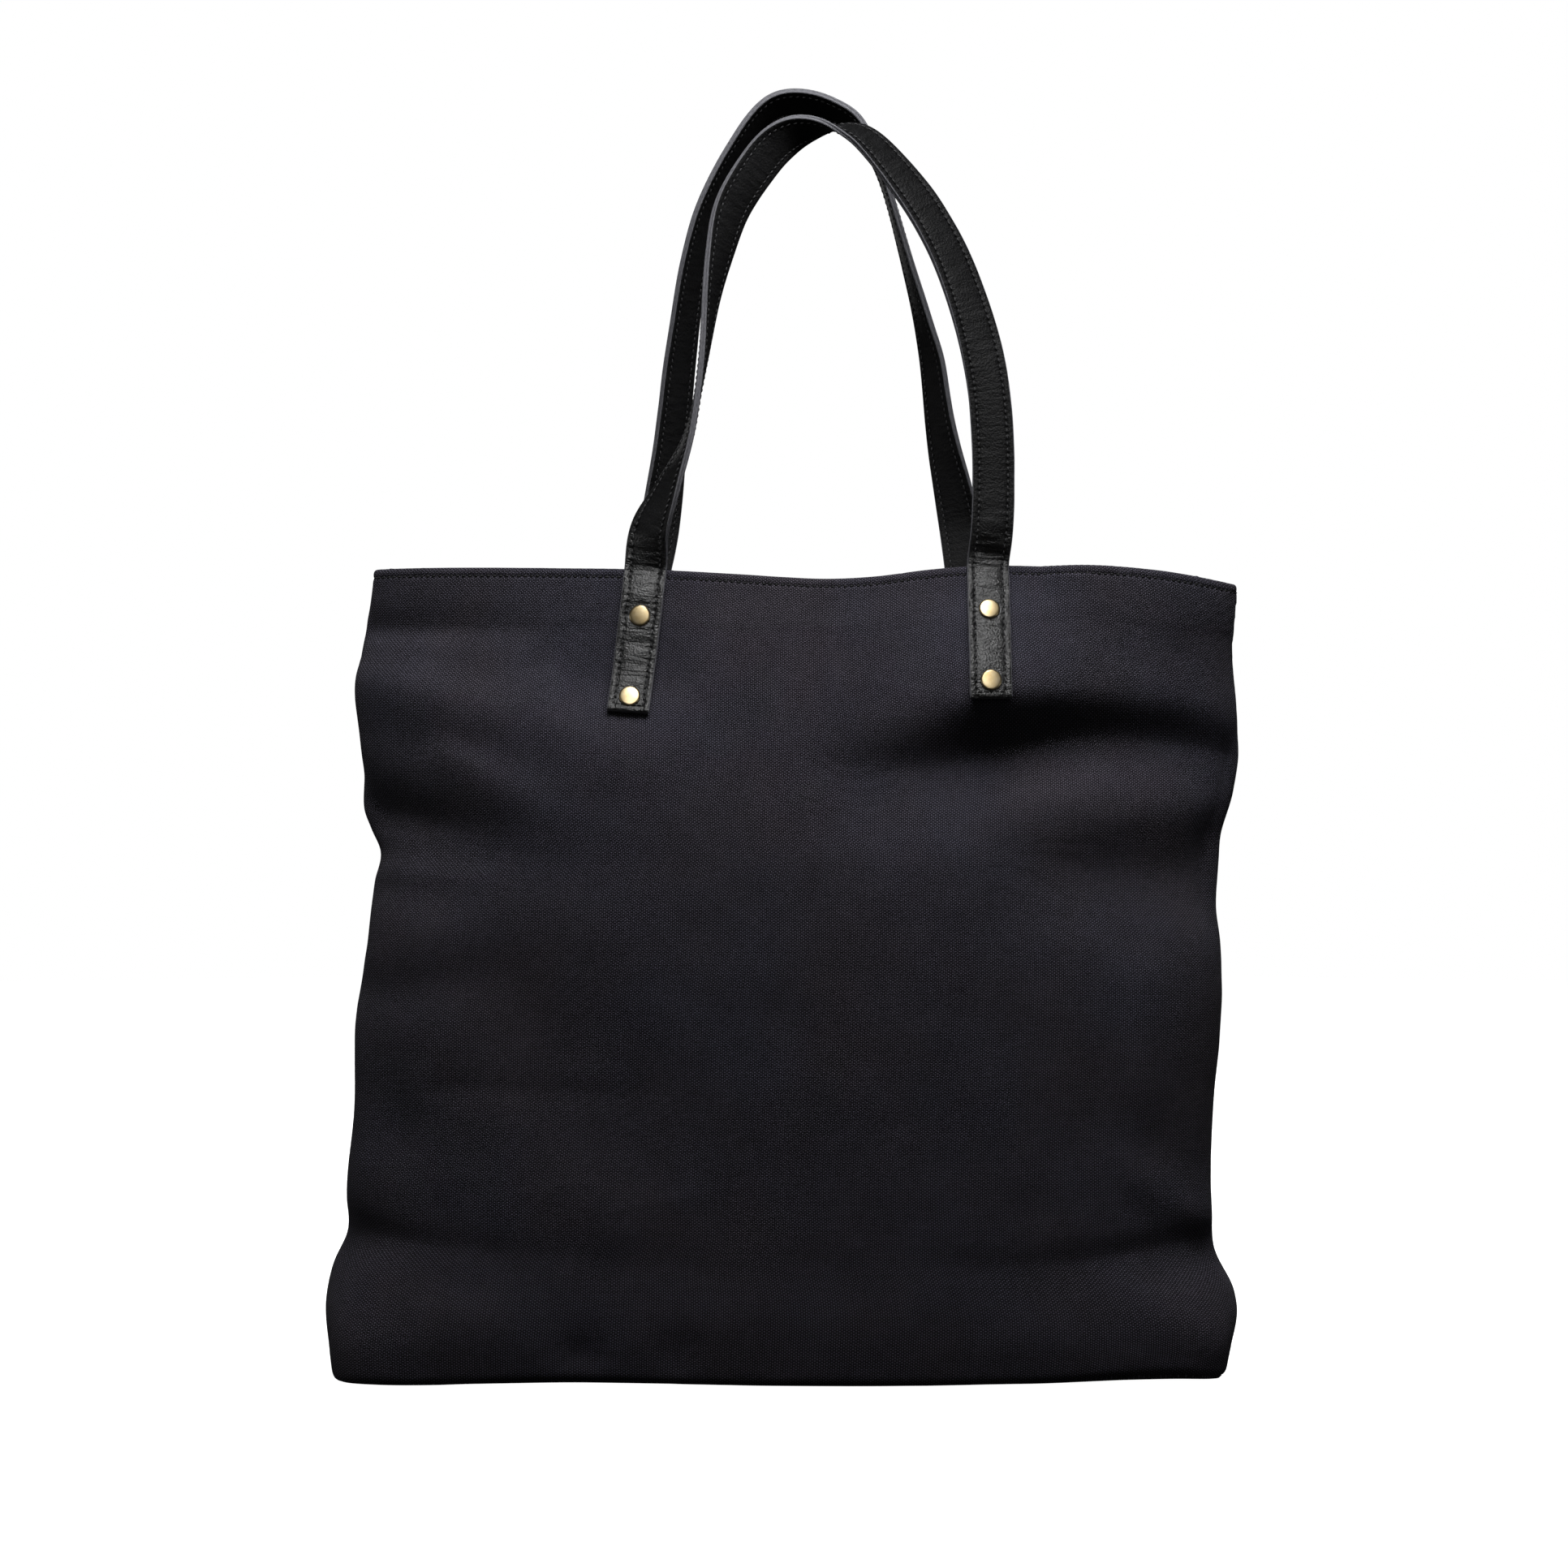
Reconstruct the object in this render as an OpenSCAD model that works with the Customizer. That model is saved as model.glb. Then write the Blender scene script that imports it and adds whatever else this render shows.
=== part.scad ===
// Soft canvas tote bag with two riveted leather strap handles.
// Origin: centre of the base, on the floor. +Z is up, -Y is the front and +X is to the right seen from the front.

/* [Body] */
// height of the body, floor to rim
body_h = 385; // [360:1:410]
// width of the body at its widest, just above the base
body_w = 435; // [415:1:455]
// depth of the body at the base
body_d = 132; // [126:1:140]
// thickness of the canvas
canvas_t = 1.2; // [1.0:0.1:1.3]
// depth of the facing sewn inside the mouth
facing_depth = 28; // [26:1:34]

/* [Handles] */
// width of the leather strap
strap_w = 20; // [18:1:22]
// thickness of one of the two leather plies of the strap
ply_t = 1.5; // [1.3:0.1:1.5]
// length of the strap end that is riveted to the panel, below the rim
tab_length = 67; // [66:1:72]
// height of the front handle's crown above the rim
front_rise = 220; // [200:1:230]
// height of the back handle's crown above the rim
back_rise = 234; // [214:1:245]

/* [Rivets] */
// diameter of the domed rivet cap
cap_d = 10; // [8:0.5:11]
// diameter of the rivet post
post_d = 3.2; // [3.0:0.1:3.4]
// distance from the rim to the upper rivet
rivet_drop = 21; // [20:1:23]
// distance between the two rivets of one strap end
rivet_pitch = 39.5; // [37:0.5:40]

/* [View] */
// which part to draw

/* [Hidden] */

FRONT = -1;
BACK = 1;

// body profile, one row per level:
// [fraction of height, fraction of half width, fraction of half depth, squareness, sideways lean in mm]
PROFILE = [[0.00, 0.955, 0.960, 5.0, 0.0],
           [0.04, 0.986, 1.000, 4.8, 0.0],
           [0.08, 1.000, 1.000, 4.4, 0.0],
           [0.12, 0.984, 0.985, 4.0, -0.5],
           [0.17, 0.950, 0.940, 3.6, -1.0],
           [0.26, 0.947, 0.915, 3.3, 0.0],
           [0.43, 0.950, 0.890, 3.1, 2.5],
           [0.55, 0.936, 0.865, 2.9, 5.0],
           [0.64, 0.922, 0.830, 2.8, 6.0],
           [0.73, 0.954, 0.810, 2.6, 6.5],
           [0.81, 0.966, 0.780, 2.4, 7.0],
           [0.90, 0.952, 0.660, 2.2, 7.0],
           [1.00, 0.938, 0.500, 2.0, 8.0]];
// columns of PROFILE
HALF_W = 1;
HALF_D = 2;
SQUARE = 3;
LEAN = 4;

// the fold where the upper body slumps over the lower body: its height, depth and spread
fold_z = body_h * 0.765;
fold_in = 6;
fold_spread = 14;
// distances from the middle where the fold begins and where it is full
fold_from = 45;
fold_full = 120;

panel_rows = 30;
panel_cols = 32;
// gap left where two cloth edges meet at a seam
seam_gap = 0.4;
// gap left between two layers of one body
layer_gap = 0.1;

// the strap ends: [x at the rim, sideways lean per mm of drop]
FRONT_LEFT = [-66, -0.13];
FRONT_RIGHT = [99, 0];
BACK_LEFT = [-66, -0.06];
BACK_RIGHT = [90, 0.04];
tab_rows = 8;
tab_top = body_h - 0.1;
strap_t = 2 * ply_t + layer_gap;

// backing patch behind each strap end
patch_t = 1.0;
patch_w = 26;
patch_top = 8;
patch_bottom = 70;
// height over which the patch steps from the panel onto the facing
patch_step = 5;
// space between the patch and the panel in front of it
patch_gap = 0.6;
patch_rows = 24;
patch_cols = 6;

// seam binding down each side, on the inside
binding_t = 2;
binding_w = 8;
binding_gap = 0.9;
binding_rows = 24;

// rivets: edge and dome height of the cap, its socket, the bore's clearance and the post's head
cap_rim = 0.6;
cap_dome = 1.6;
socket_depth = 1.0;
socket_clear = 0.1;
hole_clear = 0.4;
head_d = 9;
head_t = 0.9;

// handle routes: [x in mm, y in mm, height as a fraction of the rise, twist in degrees]
// twist 90 lays the strap flat on the panel, 0 turns its outer face up, below 0 turns its inner face forward
FRONT_ROUTE = [[-65.5, -33.5, 0, 88], [-63, -33.5, 0.09, 58], [-54, -32.5, 0.19, 28], [-44.5, -30, 0.31, 6],
               [-38, -27, 0.45, -5], [-34, -24, 0.59, -18], [-29.5, -21.5, 0.70, -34], [-22, -19.5, 0.80, -50],
               [-10, -17.5, 0.91, -58], [4, -16.5, 0.975, -38], [20, -16.5, 1, -8], [40, -17.5, 0.975, 30],
               [61, -19.5, 0.865, 42], [80, -22.5, 0.69, 50], [91, -25.5, 0.55, 64], [97, -28.5, 0.43, 82],
               [99.5, -30.5, 0.31, 90], [100, -32, 0.20, 90], [99.5, -33, 0.09, 90], [99, -33.5, 0, 90]];
BACK_ROUTE = [[-65.5, 33.5, 0, -88], [-62, 33.5, 0.09, -68], [-57.5, 32.5, 0.20, -54], [-54, 30.5, 0.32, -47],
              [-50.5, 28, 0.44, -42], [-46.5, 25, 0.57, -38], [-41.5, 22.5, 0.69, -33], [-34.5, 20.5, 0.80, -27],
              [-22, 18.5, 0.91, -22], [-5, 17.5, 0.985, -18], [14, 17.5, 1, -15], [34, 18, 0.955, -11],
              [47, 19.5, 0.84, -5], [55.5, 21.5, 0.71, -5], [62.5, 24.5, 0.58, -12], [70, 27.5, 0.45, -26],
              [77, 30, 0.32, -40], [84, 32, 0.20, -60], [88.5, 33, 0.09, -80], [90, 33.5, 0, -89]];
route_steps = 3;
// part of a row to look ahead and back for the direction of a route
look_step = 0.25;
// height of the loop's cut ends over the rim, clear of the strap ends below
loop_lift = 1.4;

cloth = [0.11, 0.11, 0.13];
cloth_edge = [0.15, 0.15, 0.17];
leather = [0.08, 0.08, 0.09];
leather_in = [0.16, 0.16, 0.17];
brass = [0.78, 0.62, 0.36];
$fn = 48;

// interpolation -------------------------------------------------------------

function row_slope(t, i, c) =
    let (a = max(i - 1, 0), b = min(i + 1, len(t) - 1))
    (t[b][c] - t[a][c]) / (t[b][0] - t[a][0]);

function row_below(t, h, i = 0) = (i >= len(t) - 2 || h < t[i + 1][0]) ? i : row_below(t, h, i + 1);

// smooth value of column c of table t at position h of its first column
function smooth_row(t, h, c) =
    let (i = row_below(t, h), w = t[i + 1][0] - t[i][0], u = min(max((h - t[i][0]) / w, 0), 1))
    (2 * u * u * u - 3 * u * u + 1) * t[i][c] + (u * u * u - 2 * u * u + u) * w * row_slope(t, i, c)
    + (3 * u * u - 2 * u * u * u) * t[i + 1][c] + (u * u * u - u * u) * w * row_slope(t, i + 1, c);

function ease(u) = let (v = min(max(u, 0), 1)) v * v * (3 - 2 * v);

function unit(v) = v / norm(v);

// value on a smooth curve through b and c, with neighbours a and d
function curve(a, b, c, d, u) =
    0.5 * (2 * b + (c - a) * u + (2 * a - 5 * b + 4 * c - d) * u * u + (3 * b - a - 3 * c + d) * u * u * u);

// body surface --------------------------------------------------------------

function half_w(z) = body_w / 2 * smooth_row(PROFILE, z / body_h, HALF_W);
function half_d(z) = body_d / 2 * smooth_row(PROFILE, z / body_h, HALF_D);
function squareness(z) = smooth_row(PROFILE, z / body_h, SQUARE);
function lean(z) = smooth_row(PROFILE, z / body_h, LEAN);

// how far the slump fold pulls the cloth in
function fold_depth(x, z) =
    fold_in * exp(-pow((z - fold_z) / fold_spread, 2)) * ease((abs(x) - fold_from) / (fold_full - fold_from));

// point on the body at height z. p runs from -1 at the left seam to 1 at the right seam, off is outward
function wall(p, z, side, off) =
    let (n = squareness(z), w = half_w(z), d = half_d(z), u = sin(90 * p),
         v = pow(max(1 - pow(abs(u), n), 0), 1 / n),
         g = unit([sign(u) * pow(abs(u), n - 1) / w, side * pow(v, n - 1) / d]),
         push = off - fold_depth(u * w, z) * abs(g[1]),
         y = side * d * v + g[1] * push)
    [lean(z) + u * w + g[0] * push, side * max(side * y, seam_gap / 2), z];

// p of the point of the body at a given x
function wall_p(x, z) = asin((x - lean(z)) / half_w(z)) / 90;

// outward direction of the body surface at a given x
function wall_out(x, z, side) =
    let (h = 1,
         across = wall(wall_p(x + h, z), z, side, 0) - wall(wall_p(x - h, z), z, side, 0),
         up = wall(wall_p(x, z + h), z + h, side, 0) - wall(wall_p(x, z - h), z - h, side, 0))
    unit(side * cross(up, across));

function on_wall(x, z, side, off) = wall(wall_p(x, z), z, side, 0) + off * wall_out(x, z, side);

// grid of points over a piece of the body, seen from outside it runs left to right and upward
function wall_grid(side, z0, z1, rows, off) =
    [for (i = [0 : rows])
        [for (j = [0 : panel_cols])
            wall(side * (1 - 2 * j / panel_cols), z0 + (z1 - z0) * i / rows, side, off)]];

// closed solid between an outer and an inner grid of points
module slab(outer, inner) {
    rows = len(outer);
    cols = len(outer[0]);
    n = rows * cols;
    points = concat([for (r = outer) for (q = r) q], [for (r = inner) for (q = r) q]);
    skin = [for (i = [0 : rows - 2]) for (j = [0 : cols - 2])
        for (f = [[i * cols + j, (i + 1) * cols + j + 1, i * cols + j + 1],
                  [i * cols + j, (i + 1) * cols + j, (i + 1) * cols + j + 1]]) f];
    lining = [for (f = skin) [f[0] + n, f[2] + n, f[1] + n]];
    foot = [for (j = [0 : cols - 2]) for (f = [[j, j + 1, n + j + 1], [j, n + j + 1, n + j]]) f];
    top = (rows - 1) * cols;
    head = [for (j = [0 : cols - 2])
        for (f = [[top + j, n + top + j + 1, top + j + 1], [top + j, n + top + j, n + top + j + 1]]) f];
    left = [for (i = [0 : rows - 2])
        for (f = [[i * cols, n + (i + 1) * cols, (i + 1) * cols], [i * cols, n + i * cols, n + (i + 1) * cols]]) f];
    e = cols - 1;
    right = [for (i = [0 : rows - 2])
        for (f = [[i * cols + e, (i + 1) * cols + e, n + (i + 1) * cols + e],
                  [i * cols + e, n + (i + 1) * cols + e, n + i * cols + e]]) f];
    polyhedron(points, concat(skin, lining, foot, head, left, right));
}

// straps --------------------------------------------------------------------

// two columns of points over a strip. Each station is [centre, across, outward]
function strip(stations, half, off) =
    [for (s = stations) [s[0] + s[1] * half + s[2] * off, s[0] - s[1] * half + s[2] * off]];

function tab_x(end, z) = end[0] + end[1] * (body_h - z);

// stations of a strip that lies on the panel, from height z0 up to height z1
function tab_stations(end, side, z0, z1, rows) =
    [for (i = [0 : rows])
        let (z = z0 + (z1 - z0) * i / rows,
             along = unit(on_wall(tab_x(end, z + 1), z + 1, side, 0) - on_wall(tab_x(end, z - 1), z - 1, side, 0)),
             out = wall_out(tab_x(end, z), z, side))
        [on_wall(tab_x(end, z), z, side, 0), unit(cross(out, along)), out]];

// height of the point a given distance down the tab from the rim
function tab_z(end, side, drop) =
    let (a = on_wall(tab_x(end, body_h), body_h, side, 0),
         b = on_wall(tab_x(end, body_h - drop), body_h - drop, side, 0))
    body_h - drop * drop / norm(a - b);

// point on a handle route, t counts its rows
function route_at(route, rise, t) =
    let (last = len(route) - 1, i = min(floor(t), last - 1), u = t - i,
         q = curve(route[max(i - 1, 0)], route[i], route[i + 1], route[min(i + 2, last)], u))
    [q[0], q[1], body_h + loop_lift + (rise - loop_lift) * q[2], q[3]];

function route_stations(route, rise) =
    let (last = (len(route) - 1) * route_steps)
    [for (k = [0 : last])
        let (q = route_at(route, rise, k / route_steps),
             a = route_at(route, rise, max(k / route_steps - look_step, 0)),
             b = route_at(route, rise, min(k / route_steps + look_step, len(route) - 1)),
             along = k == 0 ? [0, 0, 1] : k == last ? [0, 0, -1] : unit([b[0] - a[0], b[1] - a[1], b[2] - a[2]]),
             deep = unit([0, 1, 0] - along[1] * along),
             side_on = cross(along, deep),
             across = cos(q[3]) * deep + sin(q[3]) * side_on)
        [[q[0], q[1], q[2]], across, cross(along, across)]];

// one ply of a strap, between two distances from the line its stations follow
module ply(stations, low, high) {
    slab(strip(stations, strap_w / 2, high), strip(stations, strap_w / 2, low));
}

// moves a piece drawn at the origin, pointing up, onto the panel at a rivet, pointing out
module at_rivet(end, side, drop, off) {
    z = tab_z(end, side, drop);
    x = tab_x(end, z);
    out = wall_out(x, z, side);
    across = unit(cross([0, 0, 1], out));
    up = cross(out, across);
    c = on_wall(x, z, side, off);
    multmatrix([[across[0], up[0], out[0], c[0]],
                [across[1], up[1], out[1], c[1]],
                [across[2], up[2], out[2], c[2]],
                [0, 0, 0, 1]]) children();
}

// bores for the two rivets of a strap end, right through every layer
module rivet_bores(end, side) {
    reach = 12;
    for (drop = [rivet_drop, rivet_drop + rivet_pitch]) {
        at_rivet(end, side, drop, 0) cylinder(h = 2 * reach, d = post_d + hole_clear, center = true);
    }
}

// body pieces ---------------------------------------------------------------

module panel(side, left_end, right_end) {
    difference() {
        slab(wall_grid(side, 0, body_h, panel_rows, 0), wall_grid(side, 0, body_h, panel_rows, -canvas_t));
        rivet_bores(left_end, side);
        rivet_bores(right_end, side);
    }
}

module front_panel() {
    color(cloth) panel(FRONT, FRONT_LEFT, FRONT_RIGHT);
}

module back_panel() {
    color(cloth) panel(BACK, BACK_LEFT, BACK_RIGHT);
}

module base_panel() {
    inset = -canvas_t - seam_gap;
    front = wall_grid(FRONT, 0, 1, 1, inset)[0];
    back = wall_grid(BACK, 0, 1, 1, inset)[0];
    rim = concat([for (q = front) [q[0], q[1]]], [for (q = back) [q[0], q[1]]]);
    color(cloth) linear_extrude(canvas_t) polygon(rim);
}

module facing(side, left_end, right_end) {
    outer = -canvas_t - layer_gap;
    difference() {
        slab(wall_grid(side, body_h - facing_depth, body_h, 4, outer),
             wall_grid(side, body_h - facing_depth, body_h, 4, outer - canvas_t));
        rivet_bores(left_end, side);
        rivet_bores(right_end, side);
    }
}

module front_facing() {
    color(cloth_edge) facing(FRONT, FRONT_LEFT, FRONT_RIGHT);
}

module back_facing() {
    color(cloth_edge) facing(BACK, BACK_LEFT, BACK_RIGHT);
}

// hand is -1 on the left and 1 on the right
module seam_binding(hand) {
    low = 4;
    high = body_h - facing_depth - 2;
    grid = [for (y = [-binding_t / 2, binding_t / 2])
        [for (i = [0 : binding_rows])
            let (z = low + (high - low) * i / binding_rows,
                 edge = lean(z) + hand * (half_w(z) - canvas_t - binding_gap),
                 ends = hand > 0 ? [edge - binding_w, edge] : [edge, edge + binding_w])
            [for (x = ends) [x, y, z]]]];
    color(cloth_edge) slab(grid[0], grid[1]);
}

module left_seam_binding() {
    seam_binding(-1);
}

module right_seam_binding() {
    seam_binding(1);
}

// grid of points on the inside of a panel behind a strap end
function patch_grid(end, side, levels, depth) =
    [for (i = [0 : len(levels) - 1])
        [for (j = [0 : patch_cols])
            let (across = side * patch_w * (0.5 - j / patch_cols))
            on_wall(tab_x(end, levels[i]) + across, levels[i], side, depth[i])]];

module backing(end, side) {
    z0 = tab_z(end, side, patch_bottom);
    z1 = tab_z(end, side, patch_top);
    step_z = body_h - facing_depth;
    levels = [for (i = [0 : patch_rows]) z0 + (z1 - z0) * i / patch_rows];
    under = -canvas_t - patch_gap;
    over = under - canvas_t - layer_gap;
    depth = [for (z = levels) under + (over - under) * ease((z - step_z + patch_step + 2) / patch_step)];
    outer = patch_grid(end, side, levels, depth);
    inner = patch_grid(end, side, levels, [for (d = depth) d - patch_t]);
    color(cloth_edge) difference() {
        slab(outer, inner);
        rivet_bores(end, side);
    }
}

module front_left_backing() {
    backing(FRONT_LEFT, FRONT);
}

module front_right_backing() {
    backing(FRONT_RIGHT, FRONT);
}

module back_left_backing() {
    backing(BACK_LEFT, BACK);
}

module back_right_backing() {
    backing(BACK_RIGHT, BACK);
}

// strap ends ----------------------------------------------------------------

module tab_ply(end, side, low) {
    stations = tab_stations(end, side, tab_z(end, side, tab_length), tab_top, tab_rows);
    difference() {
        ply(stations, low, low + ply_t);
        rivet_bores(end, side);
    }
}

module tab_inner(end, side) {
    color(leather_in) tab_ply(end, side, layer_gap);
}

module tab_outer(end, side) {
    color(leather) tab_ply(end, side, 2 * layer_gap + ply_t);
}

module front_left_tab_outer_ply() {
    tab_outer(FRONT_LEFT, FRONT);
}

module front_left_tab_inner_ply() {
    tab_inner(FRONT_LEFT, FRONT);
}

module front_right_tab_outer_ply() {
    tab_outer(FRONT_RIGHT, FRONT);
}

module front_right_tab_inner_ply() {
    tab_inner(FRONT_RIGHT, FRONT);
}

module back_left_tab_outer_ply() {
    tab_outer(BACK_LEFT, BACK);
}

module back_left_tab_inner_ply() {
    tab_inner(BACK_LEFT, BACK);
}

module back_right_tab_outer_ply() {
    tab_outer(BACK_RIGHT, BACK);
}

module back_right_tab_inner_ply() {
    tab_inner(BACK_RIGHT, BACK);
}

// rivets --------------------------------------------------------------------

// domed cap, lying on the strap end
module rivet_cap(end, side, drop) {
    seat = layer_gap + strap_t + layer_gap;
    dome_r = (cap_d * cap_d / 4 + cap_dome * cap_dome) / (2 * cap_dome);
    color(brass) at_rivet(end, side, drop, seat) difference() {
        union() {
            cylinder(h = cap_rim, d = cap_d);
            intersection() {
                translate([0, 0, cap_rim + cap_dome - dome_r]) sphere(r = dome_r);
                cylinder(h = cap_rim + cap_dome, d = cap_d);
            }
        }
        translate([0, 0, -socket_depth]) cylinder(h = 2 * socket_depth, d = post_d + socket_clear);
    }
}

// post with its flat head, pushed through from the inside
module rivet_post(end, side, drop) {
    layers = drop < facing_depth ? 2 : 1;
    seat = layer_gap + strap_t + layer_gap;
    inside = layers * (canvas_t + layer_gap) + patch_t + patch_gap;
    color(brass) at_rivet(end, side, drop, 0) {
        translate([0, 0, -inside]) cylinder(h = inside + seat + socket_depth - socket_clear, d = post_d);
        translate([0, 0, -inside - head_t]) cylinder(h = head_t, d = head_d);
    }
}

module front_left_upper_rivet_cap() {
    rivet_cap(FRONT_LEFT, FRONT, rivet_drop);
}

module front_left_lower_rivet_cap() {
    rivet_cap(FRONT_LEFT, FRONT, rivet_drop + rivet_pitch);
}

module front_right_upper_rivet_cap() {
    rivet_cap(FRONT_RIGHT, FRONT, rivet_drop);
}

module front_right_lower_rivet_cap() {
    rivet_cap(FRONT_RIGHT, FRONT, rivet_drop + rivet_pitch);
}

module back_left_upper_rivet_cap() {
    rivet_cap(BACK_LEFT, BACK, rivet_drop);
}

module back_left_lower_rivet_cap() {
    rivet_cap(BACK_LEFT, BACK, rivet_drop + rivet_pitch);
}

module back_right_upper_rivet_cap() {
    rivet_cap(BACK_RIGHT, BACK, rivet_drop);
}

module back_right_lower_rivet_cap() {
    rivet_cap(BACK_RIGHT, BACK, rivet_drop + rivet_pitch);
}

module front_left_upper_rivet_post() {
    rivet_post(FRONT_LEFT, FRONT, rivet_drop);
}

module front_left_lower_rivet_post() {
    rivet_post(FRONT_LEFT, FRONT, rivet_drop + rivet_pitch);
}

module front_right_upper_rivet_post() {
    rivet_post(FRONT_RIGHT, FRONT, rivet_drop);
}

module front_right_lower_rivet_post() {
    rivet_post(FRONT_RIGHT, FRONT, rivet_drop + rivet_pitch);
}

module back_left_upper_rivet_post() {
    rivet_post(BACK_LEFT, BACK, rivet_drop);
}

module back_left_lower_rivet_post() {
    rivet_post(BACK_LEFT, BACK, rivet_drop + rivet_pitch);
}

module back_right_upper_rivet_post() {
    rivet_post(BACK_RIGHT, BACK, rivet_drop);
}

module back_right_lower_rivet_post() {
    rivet_post(BACK_RIGHT, BACK, rivet_drop + rivet_pitch);
}

// handle loops --------------------------------------------------------------

module front_loop_outer_ply() {
    color(leather) ply(route_stations(FRONT_ROUTE, front_rise), layer_gap / 2, strap_t / 2);
}

module front_loop_inner_ply() {
    color(leather_in) ply(route_stations(FRONT_ROUTE, front_rise), -strap_t / 2, -layer_gap / 2);
}

module back_loop_outer_ply() {
    color(leather) ply(route_stations(BACK_ROUTE, back_rise), layer_gap / 2, strap_t / 2);
}

module back_loop_inner_ply() {
    color(leather_in) ply(route_stations(BACK_ROUTE, back_rise), -strap_t / 2, -layer_gap / 2);
}

front_panel();
back_panel();
base_panel();
front_facing();
back_facing();
left_seam_binding();
right_seam_binding();
front_left_backing();
front_right_backing();
back_left_backing();
back_right_backing();
front_left_tab_outer_ply();
front_left_tab_inner_ply();
front_right_tab_outer_ply();
front_right_tab_inner_ply();
back_left_tab_outer_ply();
back_left_tab_inner_ply();
back_right_tab_outer_ply();
back_right_tab_inner_ply();
front_left_upper_rivet_cap();
front_left_lower_rivet_cap();
front_right_upper_rivet_cap();
front_right_lower_rivet_cap();
back_left_upper_rivet_cap();
back_left_lower_rivet_cap();
back_right_upper_rivet_cap();
back_right_lower_rivet_cap();
front_left_upper_rivet_post();
front_left_lower_rivet_post();
front_right_upper_rivet_post();
front_right_lower_rivet_post();
back_left_upper_rivet_post();
back_left_lower_rivet_post();
back_right_upper_rivet_post();
back_right_lower_rivet_post();
front_loop_outer_ply();
front_loop_inner_ply();
back_loop_outer_ply();
back_loop_inner_ply();
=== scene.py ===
"""Looks of the canvas tote bag. Lengths are worked out in millimetres and put in the mesh in metres."""

import math

import bpy
import numpy as np
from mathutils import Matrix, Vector


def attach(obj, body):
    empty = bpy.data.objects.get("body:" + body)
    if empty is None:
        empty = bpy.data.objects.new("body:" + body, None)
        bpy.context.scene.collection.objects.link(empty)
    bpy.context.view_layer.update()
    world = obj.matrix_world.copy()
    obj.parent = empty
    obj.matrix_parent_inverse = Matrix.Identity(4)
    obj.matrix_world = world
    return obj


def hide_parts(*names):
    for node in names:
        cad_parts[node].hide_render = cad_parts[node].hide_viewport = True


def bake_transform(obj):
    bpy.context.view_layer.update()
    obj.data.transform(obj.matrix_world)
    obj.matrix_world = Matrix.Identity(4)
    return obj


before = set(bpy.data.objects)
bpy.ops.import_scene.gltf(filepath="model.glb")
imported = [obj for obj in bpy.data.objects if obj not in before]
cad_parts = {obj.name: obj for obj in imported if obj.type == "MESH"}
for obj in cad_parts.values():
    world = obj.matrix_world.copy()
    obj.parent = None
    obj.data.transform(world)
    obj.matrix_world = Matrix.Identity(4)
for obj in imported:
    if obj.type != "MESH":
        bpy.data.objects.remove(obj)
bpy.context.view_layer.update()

MM = 0.001
scene = bpy.context.scene
SEED = 11

# ------------------------------ camera and scale
VIEW_DIST = 2000.0          # camera to the plane of the strap ends
PLANE_Y = -35.0             # that plane
VIEW_W = 743.8              # width that the view takes in at that plane
EYE_Z = 282.0               # the camera looks level from this height
SENSOR = 36.0


def seen(x, y, z):
    """Place of a point at depth y that is seen where (x, z) of the strap plane is."""
    f = (VIEW_DIST + y - PLANE_Y) / VIEW_DIST
    return x * f, y, EYE_Z + (z - EYE_Z) * f


# ------------------------------ small helpers
def ease(t):
    """0 to 1 with soft ends."""
    t = np.clip(t, 0, 1)
    return t * t * (3 - 2 * t)


def smooth_table(rows, at, col=1):
    """Smooth value of a column of a short table at positions of its first column."""
    rows = sorted(rows)
    x = np.array([r[0] for r in rows], float)
    y = np.array([r[col] for r in rows], float)
    m = np.gradient(y, x)
    at = np.clip(np.asarray(at, float), x[0], x[-1])
    i = np.clip(np.searchsorted(x, at, side="right") - 1, 0, len(x) - 2)
    h = x[i + 1] - x[i]
    u = (at - x[i]) / h
    return ((2 * u**3 - 3 * u**2 + 1) * y[i] + (u**3 - 2 * u**2 + u) * h * m[i]
            + (3 * u**2 - 2 * u**3) * y[i + 1] + (u**3 - u**2) * h * m[i + 1])


def unit(v):
    """Vectors of the same direction and length 1."""
    return v / np.maximum(np.linalg.norm(v, axis=-1, keepdims=True), 1e-12)


def spline(rows, per):
    """Catmull-Rom curve through rows of numbers, with per points to each span."""
    p = np.array(rows, float)
    p = np.vstack([2 * p[0] - p[1], p, 2 * p[-1] - p[-2]])
    u = (np.arange(per) / per)[:, None]
    out = []
    for i in range(1, len(p) - 2):
        a, b, c, d = p[i - 1], p[i], p[i + 1], p[i + 2]
        curve = (2 * a - 5 * b + 4 * c - d) * u**2 + (3 * b - a - 3 * c + d) * u**3
        out.append(0.5 * (2 * b + (c - a) * u + curve))
    out.append(p[-2][None, :])
    return np.vstack(out)


NOISE_CELLS = 97            # the noise repeats after this many features


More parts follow.
